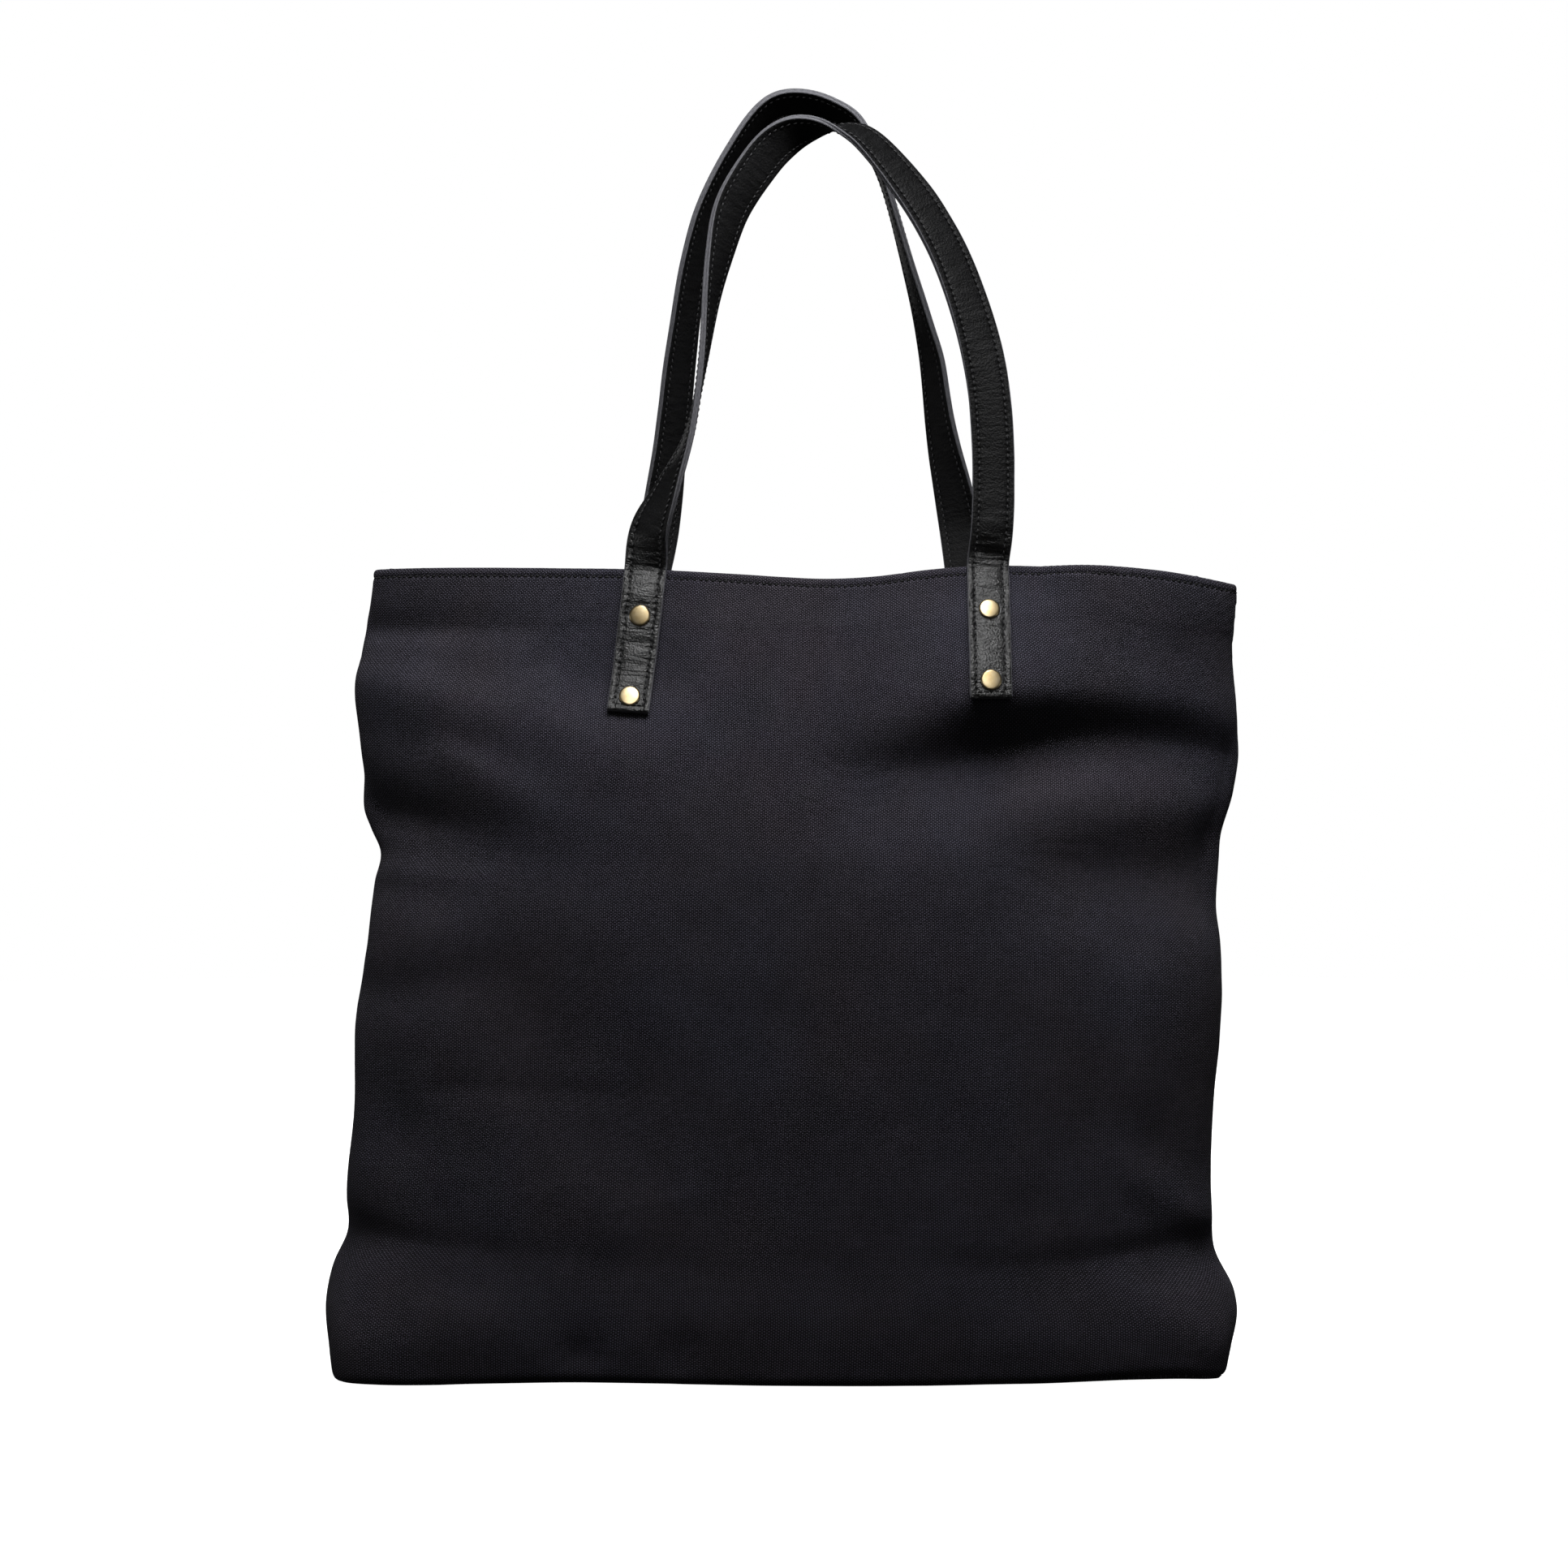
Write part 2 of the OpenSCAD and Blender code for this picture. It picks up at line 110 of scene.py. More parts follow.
def noise2(x, y, size, seed, octaves=3):
    """Smooth noise of about -1 to 1 with features of a given size."""
    total = np.zeros(np.broadcast(x, y).shape)
    gain, norm = 1.0, 0.0
    for o in range(octaves):
        r = np.random.RandomState(seed + 31 * o).uniform(-1, 1, (NOISE_CELLS, NOISE_CELLS))
        s = size / 2**o
        gx, gy = np.asarray(x) / s + 40.3, np.asarray(y) / s + 40.7
        ix, iy = np.floor(gx).astype(int), np.floor(gy).astype(int)
        fx, fy = ease(gx - ix), ease(gy - iy)
        i, j = ix % NOISE_CELLS, iy % NOISE_CELLS
        i_next, j_next = (ix + 1) % NOISE_CELLS, (iy + 1) % NOISE_CELLS
        a = r[i, j] * (1 - fx) + r[i_next, j] * fx
        b = r[i, j_next] * (1 - fx) + r[i_next, j_next] * fx
        total += gain * (a * (1 - fy) + b * fy)
        norm += gain
        gain *= 0.5
    return total / norm


def new_object(name, data):
    """Object of a mesh, light or camera, put in the scene."""
    ob = bpy.data.objects.new(name, data)
    scene.collection.objects.link(ob)
    return ob


def make_object(name, verts, faces, uv=None, mats=(), mat_index=None):
    """Smooth-shaded mesh object from millimetres. uv is one pair for each vertex."""
    me = bpy.data.meshes.new(name)
    if isinstance(faces, np.ndarray):
        faces = faces.tolist()
    me.from_pydata((np.asarray(verts) * MM).tolist(), [], faces)
    for m in mats:
        me.materials.append(m)
    if mat_index is not None:
        me.polygons.foreach_set("material_index", np.asarray(mat_index, np.int32))
    if uv is not None:
        layer = me.uv_layers.new(name="cloth")
        loops = np.empty(len(me.loops), np.int32)
        me.loops.foreach_get("vertex_index", loops)
        layer.data.foreach_set("uv", (np.asarray(uv, np.float32)[loops] * MM).ravel())
    me.polygons.foreach_set("use_smooth", np.ones(len(me.polygons), bool))
    me.update()
    return new_object(name, me)


def grid_faces(rows, cols, start=0, flip=False, close=False):
    """Four-sided faces of a grid of vertices. A closed grid joins its last column to its first."""
    i, j = np.meshgrid(np.arange(rows - 1), np.arange(cols if close else cols - 1), indexing="ij")
    a = start + i * cols + j
    b = start + i * cols + (j + 1) % cols
    c = start + (i + 1) * cols + (j + 1) % cols
    d = start + (i + 1) * cols + j
    f = np.stack([a, b, c, d] if not flip else [a, d, c, b], -1)
    return f.reshape(-1, 4)


def shell_faces(rows, cols):
    """Faces of a closed shell: an outer grid, then an inner grid of the same size."""
    n = rows * cols
    f = [grid_faces(rows, cols), grid_faces(rows, cols, n, flip=True)]
    j = np.arange(cols - 1)
    f.append(np.stack([j, n + j, n + j + 1, j + 1], -1))
    t = (rows - 1) * cols + j
    f.append(np.stack([t, t + 1, n + t + 1, n + t], -1))
    i = np.arange(rows - 1) * cols
    f.append(np.stack([i, i + cols, n + i + cols, n + i], -1))
    e = i + cols - 1
    f.append(np.stack([e, n + e, n + e + cols, e + cols], -1))
    return np.vstack(f)


def shell_object(name, wall, outer, inner, uv, mats, index=None):
    """Closed shell between an outer and an inner grid of a wall."""
    faces = shell_faces(*outer.shape[:2])
    if wall["side"] > 0:
        faces = faces[:, ::-1]
    verts = np.vstack([outer.reshape(-1, 3), inner.reshape(-1, 3)])
    uv = uv.reshape(-1, 2)
    return make_object(name, verts, faces, np.vstack([uv, uv]), mats, index)


# ------------------------------ shape of the body
BODY_H = 385.0
# outline seen from the front, as (height, x), left and right
LEFT = [(0, -213.5), (14, -215.5), (36, -218.5), (52, -216), (68, -210), (85, -211), (130, -207),
        (180, -206.5), (206, -202), (236, -200), (249, -197.5), (258, -201.5), (268, -205.5), (290, -206),
        (325, -206), (361, -200.5), (385, -196.5)]
RIGHT = [(0, 209), (17, 212.5), (32, 216), (40, 215), (60, 206.5), (75, 206.5), (130, 208.5),
         (160, 211.5), (185, 213), (208, 212.5), (222, 211.5), (246, 213), (256, 214), (278, 221),
         (292, 223), (322, 219.5), (352, 215), (385, 213)]
# half depth of the body by height
DEPTH = [(0, 62.6), (20, 63.8), (66, 62.9), (150, 62), (215, 60), (255, 56.5), (295, 50), (335, 42),
         (362, 36), (385, 30)]
# squareness of the section by height
SQUARE = [(0, 10), (14, 8.5), (30, 6), (62, 4.1), (100, 3.5), (165, 3.2), (212, 3.0), (246, 2.8),
          (281, 2.6), (312, 2.4), (346, 2.15), (385, 1.95)]
# height of the rim over and under the nominal height, by x
FRONT_RIM = [(-200, 0.2), (-110, -0.5), (-52, -1.2), (-25, -2.7), (0, -4.3), (20, -5.1), (44, -3.9),
             (71, -0.2), (98, 2), (120, 1.4), (140, 0.4), (175, -2.8), (215, -7.4)]
BACK_RIM = [(-200, 0.2), (-120, -1.5), (-60, -3), (0, -4.8), (60, -3.4), (110, -0.5), (160, -2.5),
            (215, -7)]
# height of the front panel's lower edge over the floor, by x
FOOT_LIFT = [(-220, 0.6), (-179, 0), (-95, 2), (-40, 0.4), (90, 0.3), (121, 1.2), (160, 4.2), (185, 4.8),
             (215, 1.5)]

CANVAS_T = 1.2
TEXTURE_W = 560.0           # width that the canvas texture gives a panel
HEM = 28.0                  # height of the facing behind the rim
SEAM_GAP = 0.02             # each panel's distance from the middle plane at the side seams

# Strokes of a panel. Each line of points is a crest (+) or a hollow (-), and each point says
# (x, height, size, spread above, spread below).
FRONT_STROKES = [
    # long arched hollow at the right, with the cloth hanging over it
    [(8, 281, 0, 16, 26), (36, 285, -5.5, 13, 24), (70, 290, -9.5, 11, 22), (105, 300, -12.5, 10, 19),
     (140, 305, -12.5, 10, 20), (175, 304, -10.5, 10, 23), (205, 299, -9, 10, 25),
     (225, 292, -8, 10, 25)],
    [(44, 324, 0, 22, 14), (74, 324, 4.5, 22, 12), (98, 324, 8, 24, 12), (122, 326, 6.5, 24, 12),
     (150, 326, 3, 24, 12), (200, 322, 1, 26, 12), (225, 318, 0.5, 26, 12)],
    [(52, 384, 0, 24, 18), (80, 385, -1.4, 24, 20), (98, 385, -2.8, 24, 20), (116, 385, -1.4, 24, 20),
     (140, 386, 0, 24, 18)],
    [(-112, 333, 0, 22, 14), (-86, 333, -3.4, 24, 15), (-60, 334, -3.4, 24, 15), (-34, 334, 0, 22, 14)],
    # the ends of the rim stand up
    [(122, 386, 0, 30, 26), (150, 385, 8, 30, 29), (180, 383, 11.5, 30, 31), (204, 381, 9, 30, 31),
     (222, 380, 4, 30, 31)],
    [(-225, 386, 0, 30, 16), (-204, 386, 1, 30, 16), (-170, 386, 3.2, 30, 16), (-105, 386, 2.4, 30, 15),
     (-50, 386, 0, 30, 14)],
    # lower dent at the right edge
    [(98, 250, 0, 13, 22), (128, 244, -4.5, 15, 24), (160, 241, -8.8, 17, 25), (195, 242, -10, 17, 24),
     (225, 245, -9.5, 17, 24)],
    # crest running down from the upper left corner
    [(-215, 332, 3.5, 10, 14), (-180, 326, 5.2, 11, 14), (-145, 317, 5.4, 12, 16),
     (-105, 304, 4.5, 14, 20), (-65, 290, 3, 20, 24), (-20, 276, 0, 24, 28)],
    [(-175, 300, 0, 6, 8), (-150, 290, 3, 7, 10), (-124, 276, 3, 9, 12), (-90, 262, 0, 12, 14)],
    # deep hollow at the left edge, running down into the panel
    [(-220, 270, -10, 13, 12), (-190, 267, -11, 13, 13), (-168, 262, -8.5, 12, 14),
     (-146, 254, -4, 12, 15), (-122, 242, -1, 14, 16), (-95, 230, 0, 18, 18)],
    [(-220, 233, -2.6, 7, 7), (-190, 233, -2.4, 7, 8), (-160, 229, -1.8, 8, 10), (-125, 220, 0, 11, 11)],
    [(-220, 205, 1.2, 10, 12), (-185, 207, 1.0, 10, 12), (-150, 212, 0.5, 11, 13),
     (-115, 218, 0, 12, 14)],
    [(-220, 184, -2, 9, 10), (-185, 184, -1.8, 9, 10), (-150, 190, -1.2, 10, 12), (-120, 198, 0, 12, 12)],
    # broad slack of the left half, standing up and down
    [(-165, 205, 0, 18, 20), (-128, 185, -3, 22, 26), (-98, 150, -4, 30, 34), (-76, 112, -2.5, 30, 30),
     (-70, 84, 0, 26, 26)],
    [(-205, 175, 1.5, 5, 7), (-203, 145, 2.6, 6, 8), (-202, 105, 2.4, 6, 8), (-203, 76, 0.6, 6, 7)],
    [(-185, 160, 0, 6, 8), (-181, 120, -1.4, 6, 8), (-180, 90, 0, 6, 8)],
    [(-178, 139, 0, 4, 5), (-150, 139, -0.4, 4, 5), (-95, 137, -0.4, 4, 5), (-58, 136, 0, 4, 5)],
    # top left corner
    [(-215, 357, -3, 6, 4), (-175, 356, -2.6, 7, 5), (-135, 356, -1.6, 7, 6), (-90, 354, 0, 8, 8)],
    [(-130, 337, 0, 7, 7), (-114, 341, -1.5, 8, 8), (-96, 340, 0, 7, 7)],
    # crease above the foot, deep at both sides and faint between
    [(-225, 73, -3.0, 6, 22), (-198, 69, -2.8, 6, 22), (-165, 64, -2.0, 6, 22), (-125, 60, -1.1, 7, 20),
     (-85, 57.5, -0.7, 8, 18), (-30, 54, -0.4, 8, 16), (30, 53, -0.5, 8, 16), (85, 54, -0.9, 7, 17),
     (125, 55, -1.7, 7, 19), (155, 59, -2.7, 6.5, 21), (185, 64, -3.2, 6, 22), (222, 66, -3.2, 6, 22)],
    # right side: soft upright edge, and a crest that runs down into the corner
    [(172, 208, 0, 8, 10), (170, 180, 1.8, 9, 12), (169, 140, 2.2, 9, 12), (170, 112, 0, 9, 12)],
    [(142, 122, 0, 10, 9), (160, 104, 1.0, 10, 8), (178, 88, 1.8, 9, 7), (200, 77, 2, 8, 6),
     (218, 71, 2, 8, 6)],
    [(135, 50, 0, 8, 10), (160, 44, 1.2, 8, 12), (185, 34, 1.8, 8, 12), (203, 20, 1.2, 7, 9),
     (212, 8, 0, 6, 6)],
    # small marks near the lower edge
    [(-114, 12, 0, 8, 7), (-95, 15, -1.5, 8, 7), (-78, 12, 0, 8, 7)],
    [(-66, 14, 0, 8, 8), (-50, 18, -1.1, 8, 8), (-34, 15, 0, 8, 8)],
    [(-178, 22, 0, 9, 10), (-150, 32, 1.2, 9, 12), (-110, 38, 0, 9, 12)],
]
BACK_STROKES = [
    [(225, 276, -10, 12, 8), (190, 272, -11, 12, 8), (160, 262, -8, 12, 9), (120, 244, 0, 14, 13)],
    [(220, 344, 3, 8, 18), (180, 334, 4.5, 9, 18), (130, 316, 4.5, 12, 18), (70, 292, 2, 20, 22),
     (10, 276, 0, 24, 28)],
    [(0, 284, 0, 16, 26), (-50, 292, -6, 12, 24), (-105, 302, -10, 11, 19), (-160, 302, -11, 10, 17),
     (-225, 288, -10, 10, 14)],
    [(-60, 328, 0, 20, 14), (-150, 331, 4.5, 17, 12), (-225, 321, 4.5, 16, 12)],
    [(-105, 248, 0, 12, 15), (-160, 241, -6, 14, 12), (-225, 248, -7, 13, 11)],
    [(215, 232, -4, 6, 6), (170, 228, -3, 7, 8), (125, 218, 0, 10, 10)],
    [(215, 206, 3, 9, 10), (160, 214, 2, 10, 12), (115, 222, 0, 12, 14)],
    [(130, 185, 0, 22, 26), (98, 150, -3.4, 30, 34), (72, 92, 0, 26, 26)],
    [(-172, 205, 0, 8, 10), (-170, 160, 2, 9, 12), (-171, 110, 0, 9, 12)],
    [(225, 71, -6.5, 6, 6), (180, 65, -5, 6, 7), (120, 58, -2.2, 7, 8), (0, 54, -1, 8, 9),
     (-120, 56, -3, 7, 8), (-180, 63, -6, 6, 6), (-225, 67, -7, 6, 6)],
    [(-150, 46, 0, 8, 9), (-180, 34, 2.6, 8, 9), (-204, 12, 0, 6, 6)],
]


STROKE_FADE = 0.62          # how fast a stroke fades across its spread
STROKE_BLEND = 3.0          # over this distance its upper spread passes into its lower one


def stroke_field(x, z, strokes):
    """Push outwards at each point, by crests and hollows that fade out along their length."""
    total = np.zeros(x.shape)
    for rows in strokes:
        c = spline(rows, 10)
        seg = unit(np.gradient(c[:, :2], axis=0))
        if c[0, 0] > c[-1, 0]:
            seg = -seg
        best = np.full(x.shape, 1e18)
        near = np.zeros(x.shape, int)
        side = np.zeros(x.shape)
        for k in range(len(c)):
            dx, dz = x - c[k, 0], z - c[k, 1]
            d2 = dx * dx + dz * dz
            m = d2 < best
            best[m] = d2[m]
            near[m] = k
            side[m] = (seg[k, 0] * dz - seg[k, 1] * dx)[m]
        t = np.clip(side / STROKE_BLEND, -1, 1) * 0.5 + 0.5
        spread = c[near, 3] * t + c[near, 4] * (1 - t)
        total += c[near, 2] * np.exp(-STROKE_FADE * best / spread**2)
    return total


# rows of the wall by distance below the rim, finer at the hem and the foot
RIM_ROWS = [0, 0.15, 0.5, 1.0, 1.8, 2.6, 3.3, 3.8, 4.2, 4.6, 5.2, 6.2, 7.6]
FOOT_ROWS = [0, 0.5, 1.2, 2.2, 3.4, 5, 7]


def wall_levels(n):
    """Nominal heights of the rows of a wall, from the foot to the rim."""
    mid = np.linspace(BODY_H - RIM_ROWS[-1], FOOT_ROWS[-1], n)[1:-1]
    z = np.concatenate([BODY_H - np.array(RIM_ROWS), mid, np.array(FOOT_ROWS)[::-1]])
    return z[::-1]


SEAM_COLS = [0, 0.0007, 0.0018, 0.0034, 0.006]


def wall_fractions(n):
    """Places of the columns of a wall, finer at both side seams."""
    edge = np.array(SEAM_COLS)
    mid = np.linspace(edge[-1], 1 - edge[-1], n)[1:-1]
    return np.concatenate([edge, mid, 1 - edge[::-1]])


def raw_ring(z, side, count=1600):
    """Points of the section at one height, from the left seam to the right one."""
    left, right = float(smooth_table(LEFT, z)), float(smooth_table(RIGHT, z))
    w, c = (right - left) / 2, (right + left) / 2
    d, n = float(smooth_table(DEPTH, z)), float(smooth_table(SQUARE, z))
    t = np.linspace(-1, 1, count)
    u = np.sin(t * math.pi / 2)
    v = (1 - np.abs(u) ** n).clip(0) ** (1 / n)
    x = c + w * u
    return x, side * d * v


def build_wall(side, cols, levels, strokes, rim, seed):
    """Grid of points and outward directions of one panel: grid[level, column]."""
    z = wall_levels(levels)
    f = wall_fractions(cols)
    base = np.empty((len(z), len(f), 3))
    for i, h in enumerate(z):
        x, y = raw_ring(h, side)
        s = np.concatenate([[0], np.cumsum(np.hypot(np.diff(x), np.diff(y)))])
        s /= s[-1]
        base[i, :, 0] = np.interp(f, s, x)
        base[i, :, 1] = np.interp(f, s, y)
        base[i, :, 2] = h
    n = directions(base, side)
    x, zz = base[..., 0], base[..., 2]
    front = ease(np.abs(n[..., 1]) * 1.7 - 0.15)
    push = stroke_field(x, zz, strokes) * front
    # the soft dent of the gusset between the two corners of a side
    dent = np.exp(-(base[..., 1] / 20) ** 2) * (1 - front) * ease((zz - 55) / 40) * ease((345 - zz) / 60)
    push -= dent * (5.0 + 2.0 * noise2(zz, zz * 0, 60, seed + 3))
    # slack of the cloth
    push += 0.9 * noise2(x, zz, 75, seed, 3) * ease((zz - 10) / 30) * ease((378 - zz) / 25)
    push += 0.22 * noise2(x * 0.7, zz, 17, seed + 9, 2)
    p = base + n * push[..., None]
    # the hem shows as a slight step
    n = directions(p, side)
    step = 0.22 * ease((zz - (BODY_H - HEM)) / 3.5)
    drop = BODY_H - zz
    lip = np.interp(drop, [0, 0.15, 0.5, 1.0, 1.8, 3.0, 3.7, 4.2, 4.7, 5.4, 7.6, 12],
                    [-1.15, -0.7, -0.2, 0.15, 0.36, 0.36, 0.1, -0.2, 0.05, 0.2, 0.08, 0])
    pucker = 0.12 * np.sin(f[None, :] * 1700) * np.exp(-((drop - 4.2) / 1.6) ** 2)
    foot = np.interp(zz, FOOT_ROWS, [-3.0, -1.7, -0.9, -0.4, -0.12, 0, 0])
    seam = np.interp(np.minimum(f, 1 - f), SEAM_COLS, [-1.3, -0.5, 0.05, 0.2, 0])[None, :]
    p = p + n * (step + lip + pucker + foot + seam)[..., None]
    p[..., 2] += smooth_table(rim, p[..., 0]) * ease((zz - 290) / 95)
    if side < 0:
        p[..., 2] += smooth_table(FOOT_LIFT, p[..., 0]) * ease((26 - zz) / 24)
    p[..., 1] = side * np.maximum(side * p[..., 1], SEAM_GAP)
    p[:, [0, -1], 1] = side * SEAM_GAP
    return {"side": side, "z": z, "f": f, "p": p, "n": directions(p, side), "flat": f * TEXTURE_W}


def directions(p, side):
    """Outward direction at each point of a grid."""
    du = np.gradient(p, axis=1)
    dv = np.gradient(p, axis=0)
    n = unit(np.cross(du, dv))
    return n * (1 if side < 0 else -1)


def sample(wall, f, z, off=0.0):
    """Point and outward direction of a wall at fractions f and nominal heights z."""
    f, z = np.broadcast_arrays(np.asarray(f, float), np.asarray(z, float))
    fi = np.clip(np.interp(f, wall["f"], np.arange(len(wall["f"]))), 0, len(wall["f"]) - 1.001)
    zi = np.clip(np.interp(z, wall["z"], np.arange(len(wall["z"]))), 0, len(wall["z"]) - 1.001)
    i, j = zi.astype(int), fi.astype(int)
    a, b = (zi - i)[..., None], (fi - j)[..., None]

    def mix(g):
        return (g[i, j] * (1 - a) * (1 - b) + g[i + 1, j] * a * (1 - b) + g[i, j + 1] * (1 - a) * b
                + g[i + 1, j + 1] * a * b)

    n = unit(mix(wall["n"]))
    return mix(wall["p"]) + n * off, n


def fraction_at(wall, x, z):
    """Fraction of a wall's width where it is at x, at nominal height z."""
    i = int(np.argmin(np.abs(wall["z"] - z)))
    row = wall["p"][i, :, 0]
    k = slice(len(row) // 8, -len(row) // 8)
    return float(np.interp(x, row[k], wall["f"][k]))


# ------------------------------ materials
def new_material(name):
    """New material with its node tree and its Principled node."""
    m = bpy.data.materials.new(name)
    m.use_nodes = True
    nt = m.node_tree
    return m, nt, nt.nodes["Principled BSDF"]


def node(nt, kind, **values):
    """New node, with values for its inputs or its settings."""
    n = nt.nodes.new(kind)
    for k, v in values.items():
        if k in n.inputs:
            n.inputs[k].default_value = v
        else:
            setattr(n, k, v)
    return n


def calc(nt, op, a, b=None, c=None):
    """Math node with numbers or sockets going in."""
    n = nt.nodes.new("ShaderNodeMath")
    n.operation = op
    for i, v in enumerate((a, b, c)):
        if v is None:
            continue
        if isinstance(v, (int, float)):
            n.inputs[i].default_value = v
        else:
            nt.links.new(v, n.inputs[i])
    return n.outputs[0]


def noise_node(nt, vector, scale, detail=3.0, rough=0.55):
    n = node(nt, "ShaderNodeTexNoise", Scale=scale, Detail=detail, Roughness=rough)
    nt.links.new(vector, n.inputs["Vector"])
    return n.outputs["Fac"]


def ramp(nt, fac, stops):
    n = nt.nodes.new("ShaderNodeValToRGB")
    e = n.color_ramp.elements
    while len(e) < len(stops):
        e.new(0.5)
    for s, (pos, col) in zip(e, stops):
        s.position = pos
        s.color = (*col, 1)
    nt.links.new(fac, n.inputs[0])
    return n.outputs[0]


def cloth_uv(nt):
    n = nt.nodes.new("ShaderNodeUVMap")
    n.uv_map = "cloth"
    return n.outputs[0]


def add_color(nt, bsdf, fac, stops):
    nt.links.new(ramp(nt, fac, stops), bsdf.inputs["Base Color"])


def add_roughness(nt, bsdf, fac, gain, base):
    nt.links.new(calc(nt, "MULTIPLY_ADD", fac, gain, base), bsdf.inputs["Roughness"])


def add_bump(nt, bsdf, height, strength, distance):
    bump = node(nt, "ShaderNodeBump", Strength=strength, Distance=distance * MM)
    nt.links.new(height, bump.inputs["Height"])
    nt.links.new(bump.outputs[0], bsdf.inputs["Normal"])


def stretch(nt, vector, xyz):
    n = nt.nodes.new("ShaderNodeMapping")
    n.inputs["Scale"].default_value = xyz
    nt.links.new(vector, n.inputs["Vector"])
    return n.outputs[0]


WARP_PITCH = 1.17           # between the upright threads
WEFT_PITCH = 0.68           # between the level threads
THREAD_ROUND = 0.7          # roundness of a thread in the height map
WARP_SHARE = 0.45           # height of the upright threads as a share of the level ones


def canvas_material(name, dark, light):
    """Plain weave, with thick and thin threads, fluff and worn patches, and painted light on the thread
    tops and painted shade in the gaps between them.
    """
    m, nt, bsdf = new_material(name)
    uv = cloth_uv(nt)
    # threads wander a little
    wander = node(nt, "ShaderNodeTexNoise", Scale=120, Detail=2)
    nt.links.new(uv, wander.inputs["Vector"])
    sway = node(nt, "ShaderNodeVectorMath", operation="MULTIPLY_ADD")
    nt.links.new(wander.outputs["Color"], sway.inputs[0])
    sway.inputs[1].default_value = (0.8 * MM, 0.5 * MM, 0)
    nt.links.new(uv, sway.inputs[2])
    sep = nt.nodes.new("ShaderNodeSeparateXYZ")
    nt.links.new(sway.outputs[0], sep.inputs[0])
    su = calc(nt, "SINE", calc(nt, "MULTIPLY", sep.outputs[0], math.pi / (WARP_PITCH * MM)))
    sv = calc(nt, "SINE", calc(nt, "MULTIPLY", sep.outputs[1], math.pi / (WEFT_PITCH * MM)))
    # +1 where a weft thread lies on top, -1 where a warp thread does, 0 in the gaps
    over = calc(nt, "MULTIPLY", su, sv)
    top = calc(nt, "POWER", calc(nt, "MAXIMUM", over, 0.0), THREAD_ROUND)
    under = calc(nt, "MAXIMUM", calc(nt, "MULTIPLY", over, -1.0), 0.0)
    under = calc(nt, "MULTIPLY", calc(nt, "POWER", under, THREAD_ROUND), WARP_SHARE)
    pillow = calc(nt, "ADD", top, under)
    # thick and thin threads both ways, fluff, and worn patches
    warp = noise_node(nt, stretch(nt, uv, (560, 110, 1)), 1.0, 3)
    weft = noise_node(nt, stretch(nt, uv, (110, 800, 1)), 1.0, 3)
    slub = calc(nt, "ADD", warp, weft)
    fluff = noise_node(nt, uv, 1500, 2, 0.7)
    patch = noise_node(nt, uv, 42, 6, 0.7)
    faded = noise_node(nt, uv, 9, 3, 0.6)
    # the colour follows the thread height: painted light on the thread tops and painted shade in the gaps
    # between the threads; thick and thin threads, fluff and worn patches add their own tone
    tone = calc(nt, "MULTIPLY_ADD", pillow, 1.35, -0.72)
    tone = calc(nt, "MULTIPLY_ADD", slub, 0.22, tone)
    tone = calc(nt, "ADD", tone, calc(nt, "MULTIPLY_ADD", patch, 0.34, -0.02))
    tone = calc(nt, "ADD", tone, calc(nt, "MULTIPLY_ADD", fluff, 0.55, -0.12))
    middle = tuple(0.65 * a + 0.35 * b for a, b in zip(dark, light))
    color = ramp(nt, tone, [(0.0, dark), (0.45, middle), (1.0, light)])
    tint = node(nt, "ShaderNodeMix", data_type="RGBA", blend_type="MULTIPLY")
    tint.inputs["Factor"].default_value = 1.0
    hue = ramp(nt, faded, [(0.36, (1.04, 0.993, 0.945)), (0.64, (0.965, 1.0, 1.035))])
    nt.links.new(color, tint.inputs[6])
    nt.links.new(hue, tint.inputs[7])
    nt.links.new(tint.outputs[2], bsdf.inputs["Base Color"])
    add_roughness(nt, bsdf, fluff, 0.12, 0.84)
    height = calc(nt, "MULTIPLY_ADD", slub, 0.5, pillow)
    height = calc(nt, "MULTIPLY_ADD", fluff, 0.4, height)
    add_bump(nt, bsdf, height, 0.7, 0.3)
    bsdf.inputs["Specular IOR Level"].default_value = 0.12
    bsdf.inputs["Sheen Weight"].default_value = 0.02
    bsdf.inputs["Sheen Roughness"].default_value = 0.5
    return m


def leather_material(name, dark, light, rough, shine, wrinkle):
    """Grained leather with creases across the strap, with painted shade in the hollows of the creases and
    painted light on their crests.
    """
    m, nt, bsdf = new_material(name)
    uv = cloth_uv(nt)
    grain = node(nt, "ShaderNodeTexVoronoi", Scale=1100.0)
    nt.links.new(uv, grain.inputs["Vector"])
    fine = noise_node(nt, uv, 2400, 3, 0.6)
    # u runs across the strap
    creases = noise_node(nt, stretch(nt, uv, (90, 480, 1)), 1.0, 4, 0.62)
    soft = noise_node(nt, stretch(nt, uv, (50, 150, 1)), 1.0, 3, 0.5)
    # the colour follows the crease height: painted shade in the crease hollows and painted light on their
    # crests
    tone = calc(nt, "MULTIPLY_ADD", creases, 0.6, calc(nt, "MULTIPLY", fine, 0.4))
    add_color(nt, bsdf, tone, [(0.35, dark), (0.68, light)])
    r = calc(nt, "MULTIPLY_ADD", creases, 0.22, rough - 0.11)
    add_roughness(nt, bsdf, fine, 0.1, r)
    h = calc(nt, "MULTIPLY", grain.outputs["Distance"], 0.5)
    h = calc(nt, "MULTIPLY_ADD", fine, 0.3, h)
    h = calc(nt, "MULTIPLY_ADD", creases, wrinkle, h)
    h = calc(nt, "MULTIPLY_ADD", soft, wrinkle * 1.6, h)
    add_bump(nt, bsdf, h, 0.8, 0.5)
    bsdf.inputs["Specular IOR Level"].default_value = shine
    return m


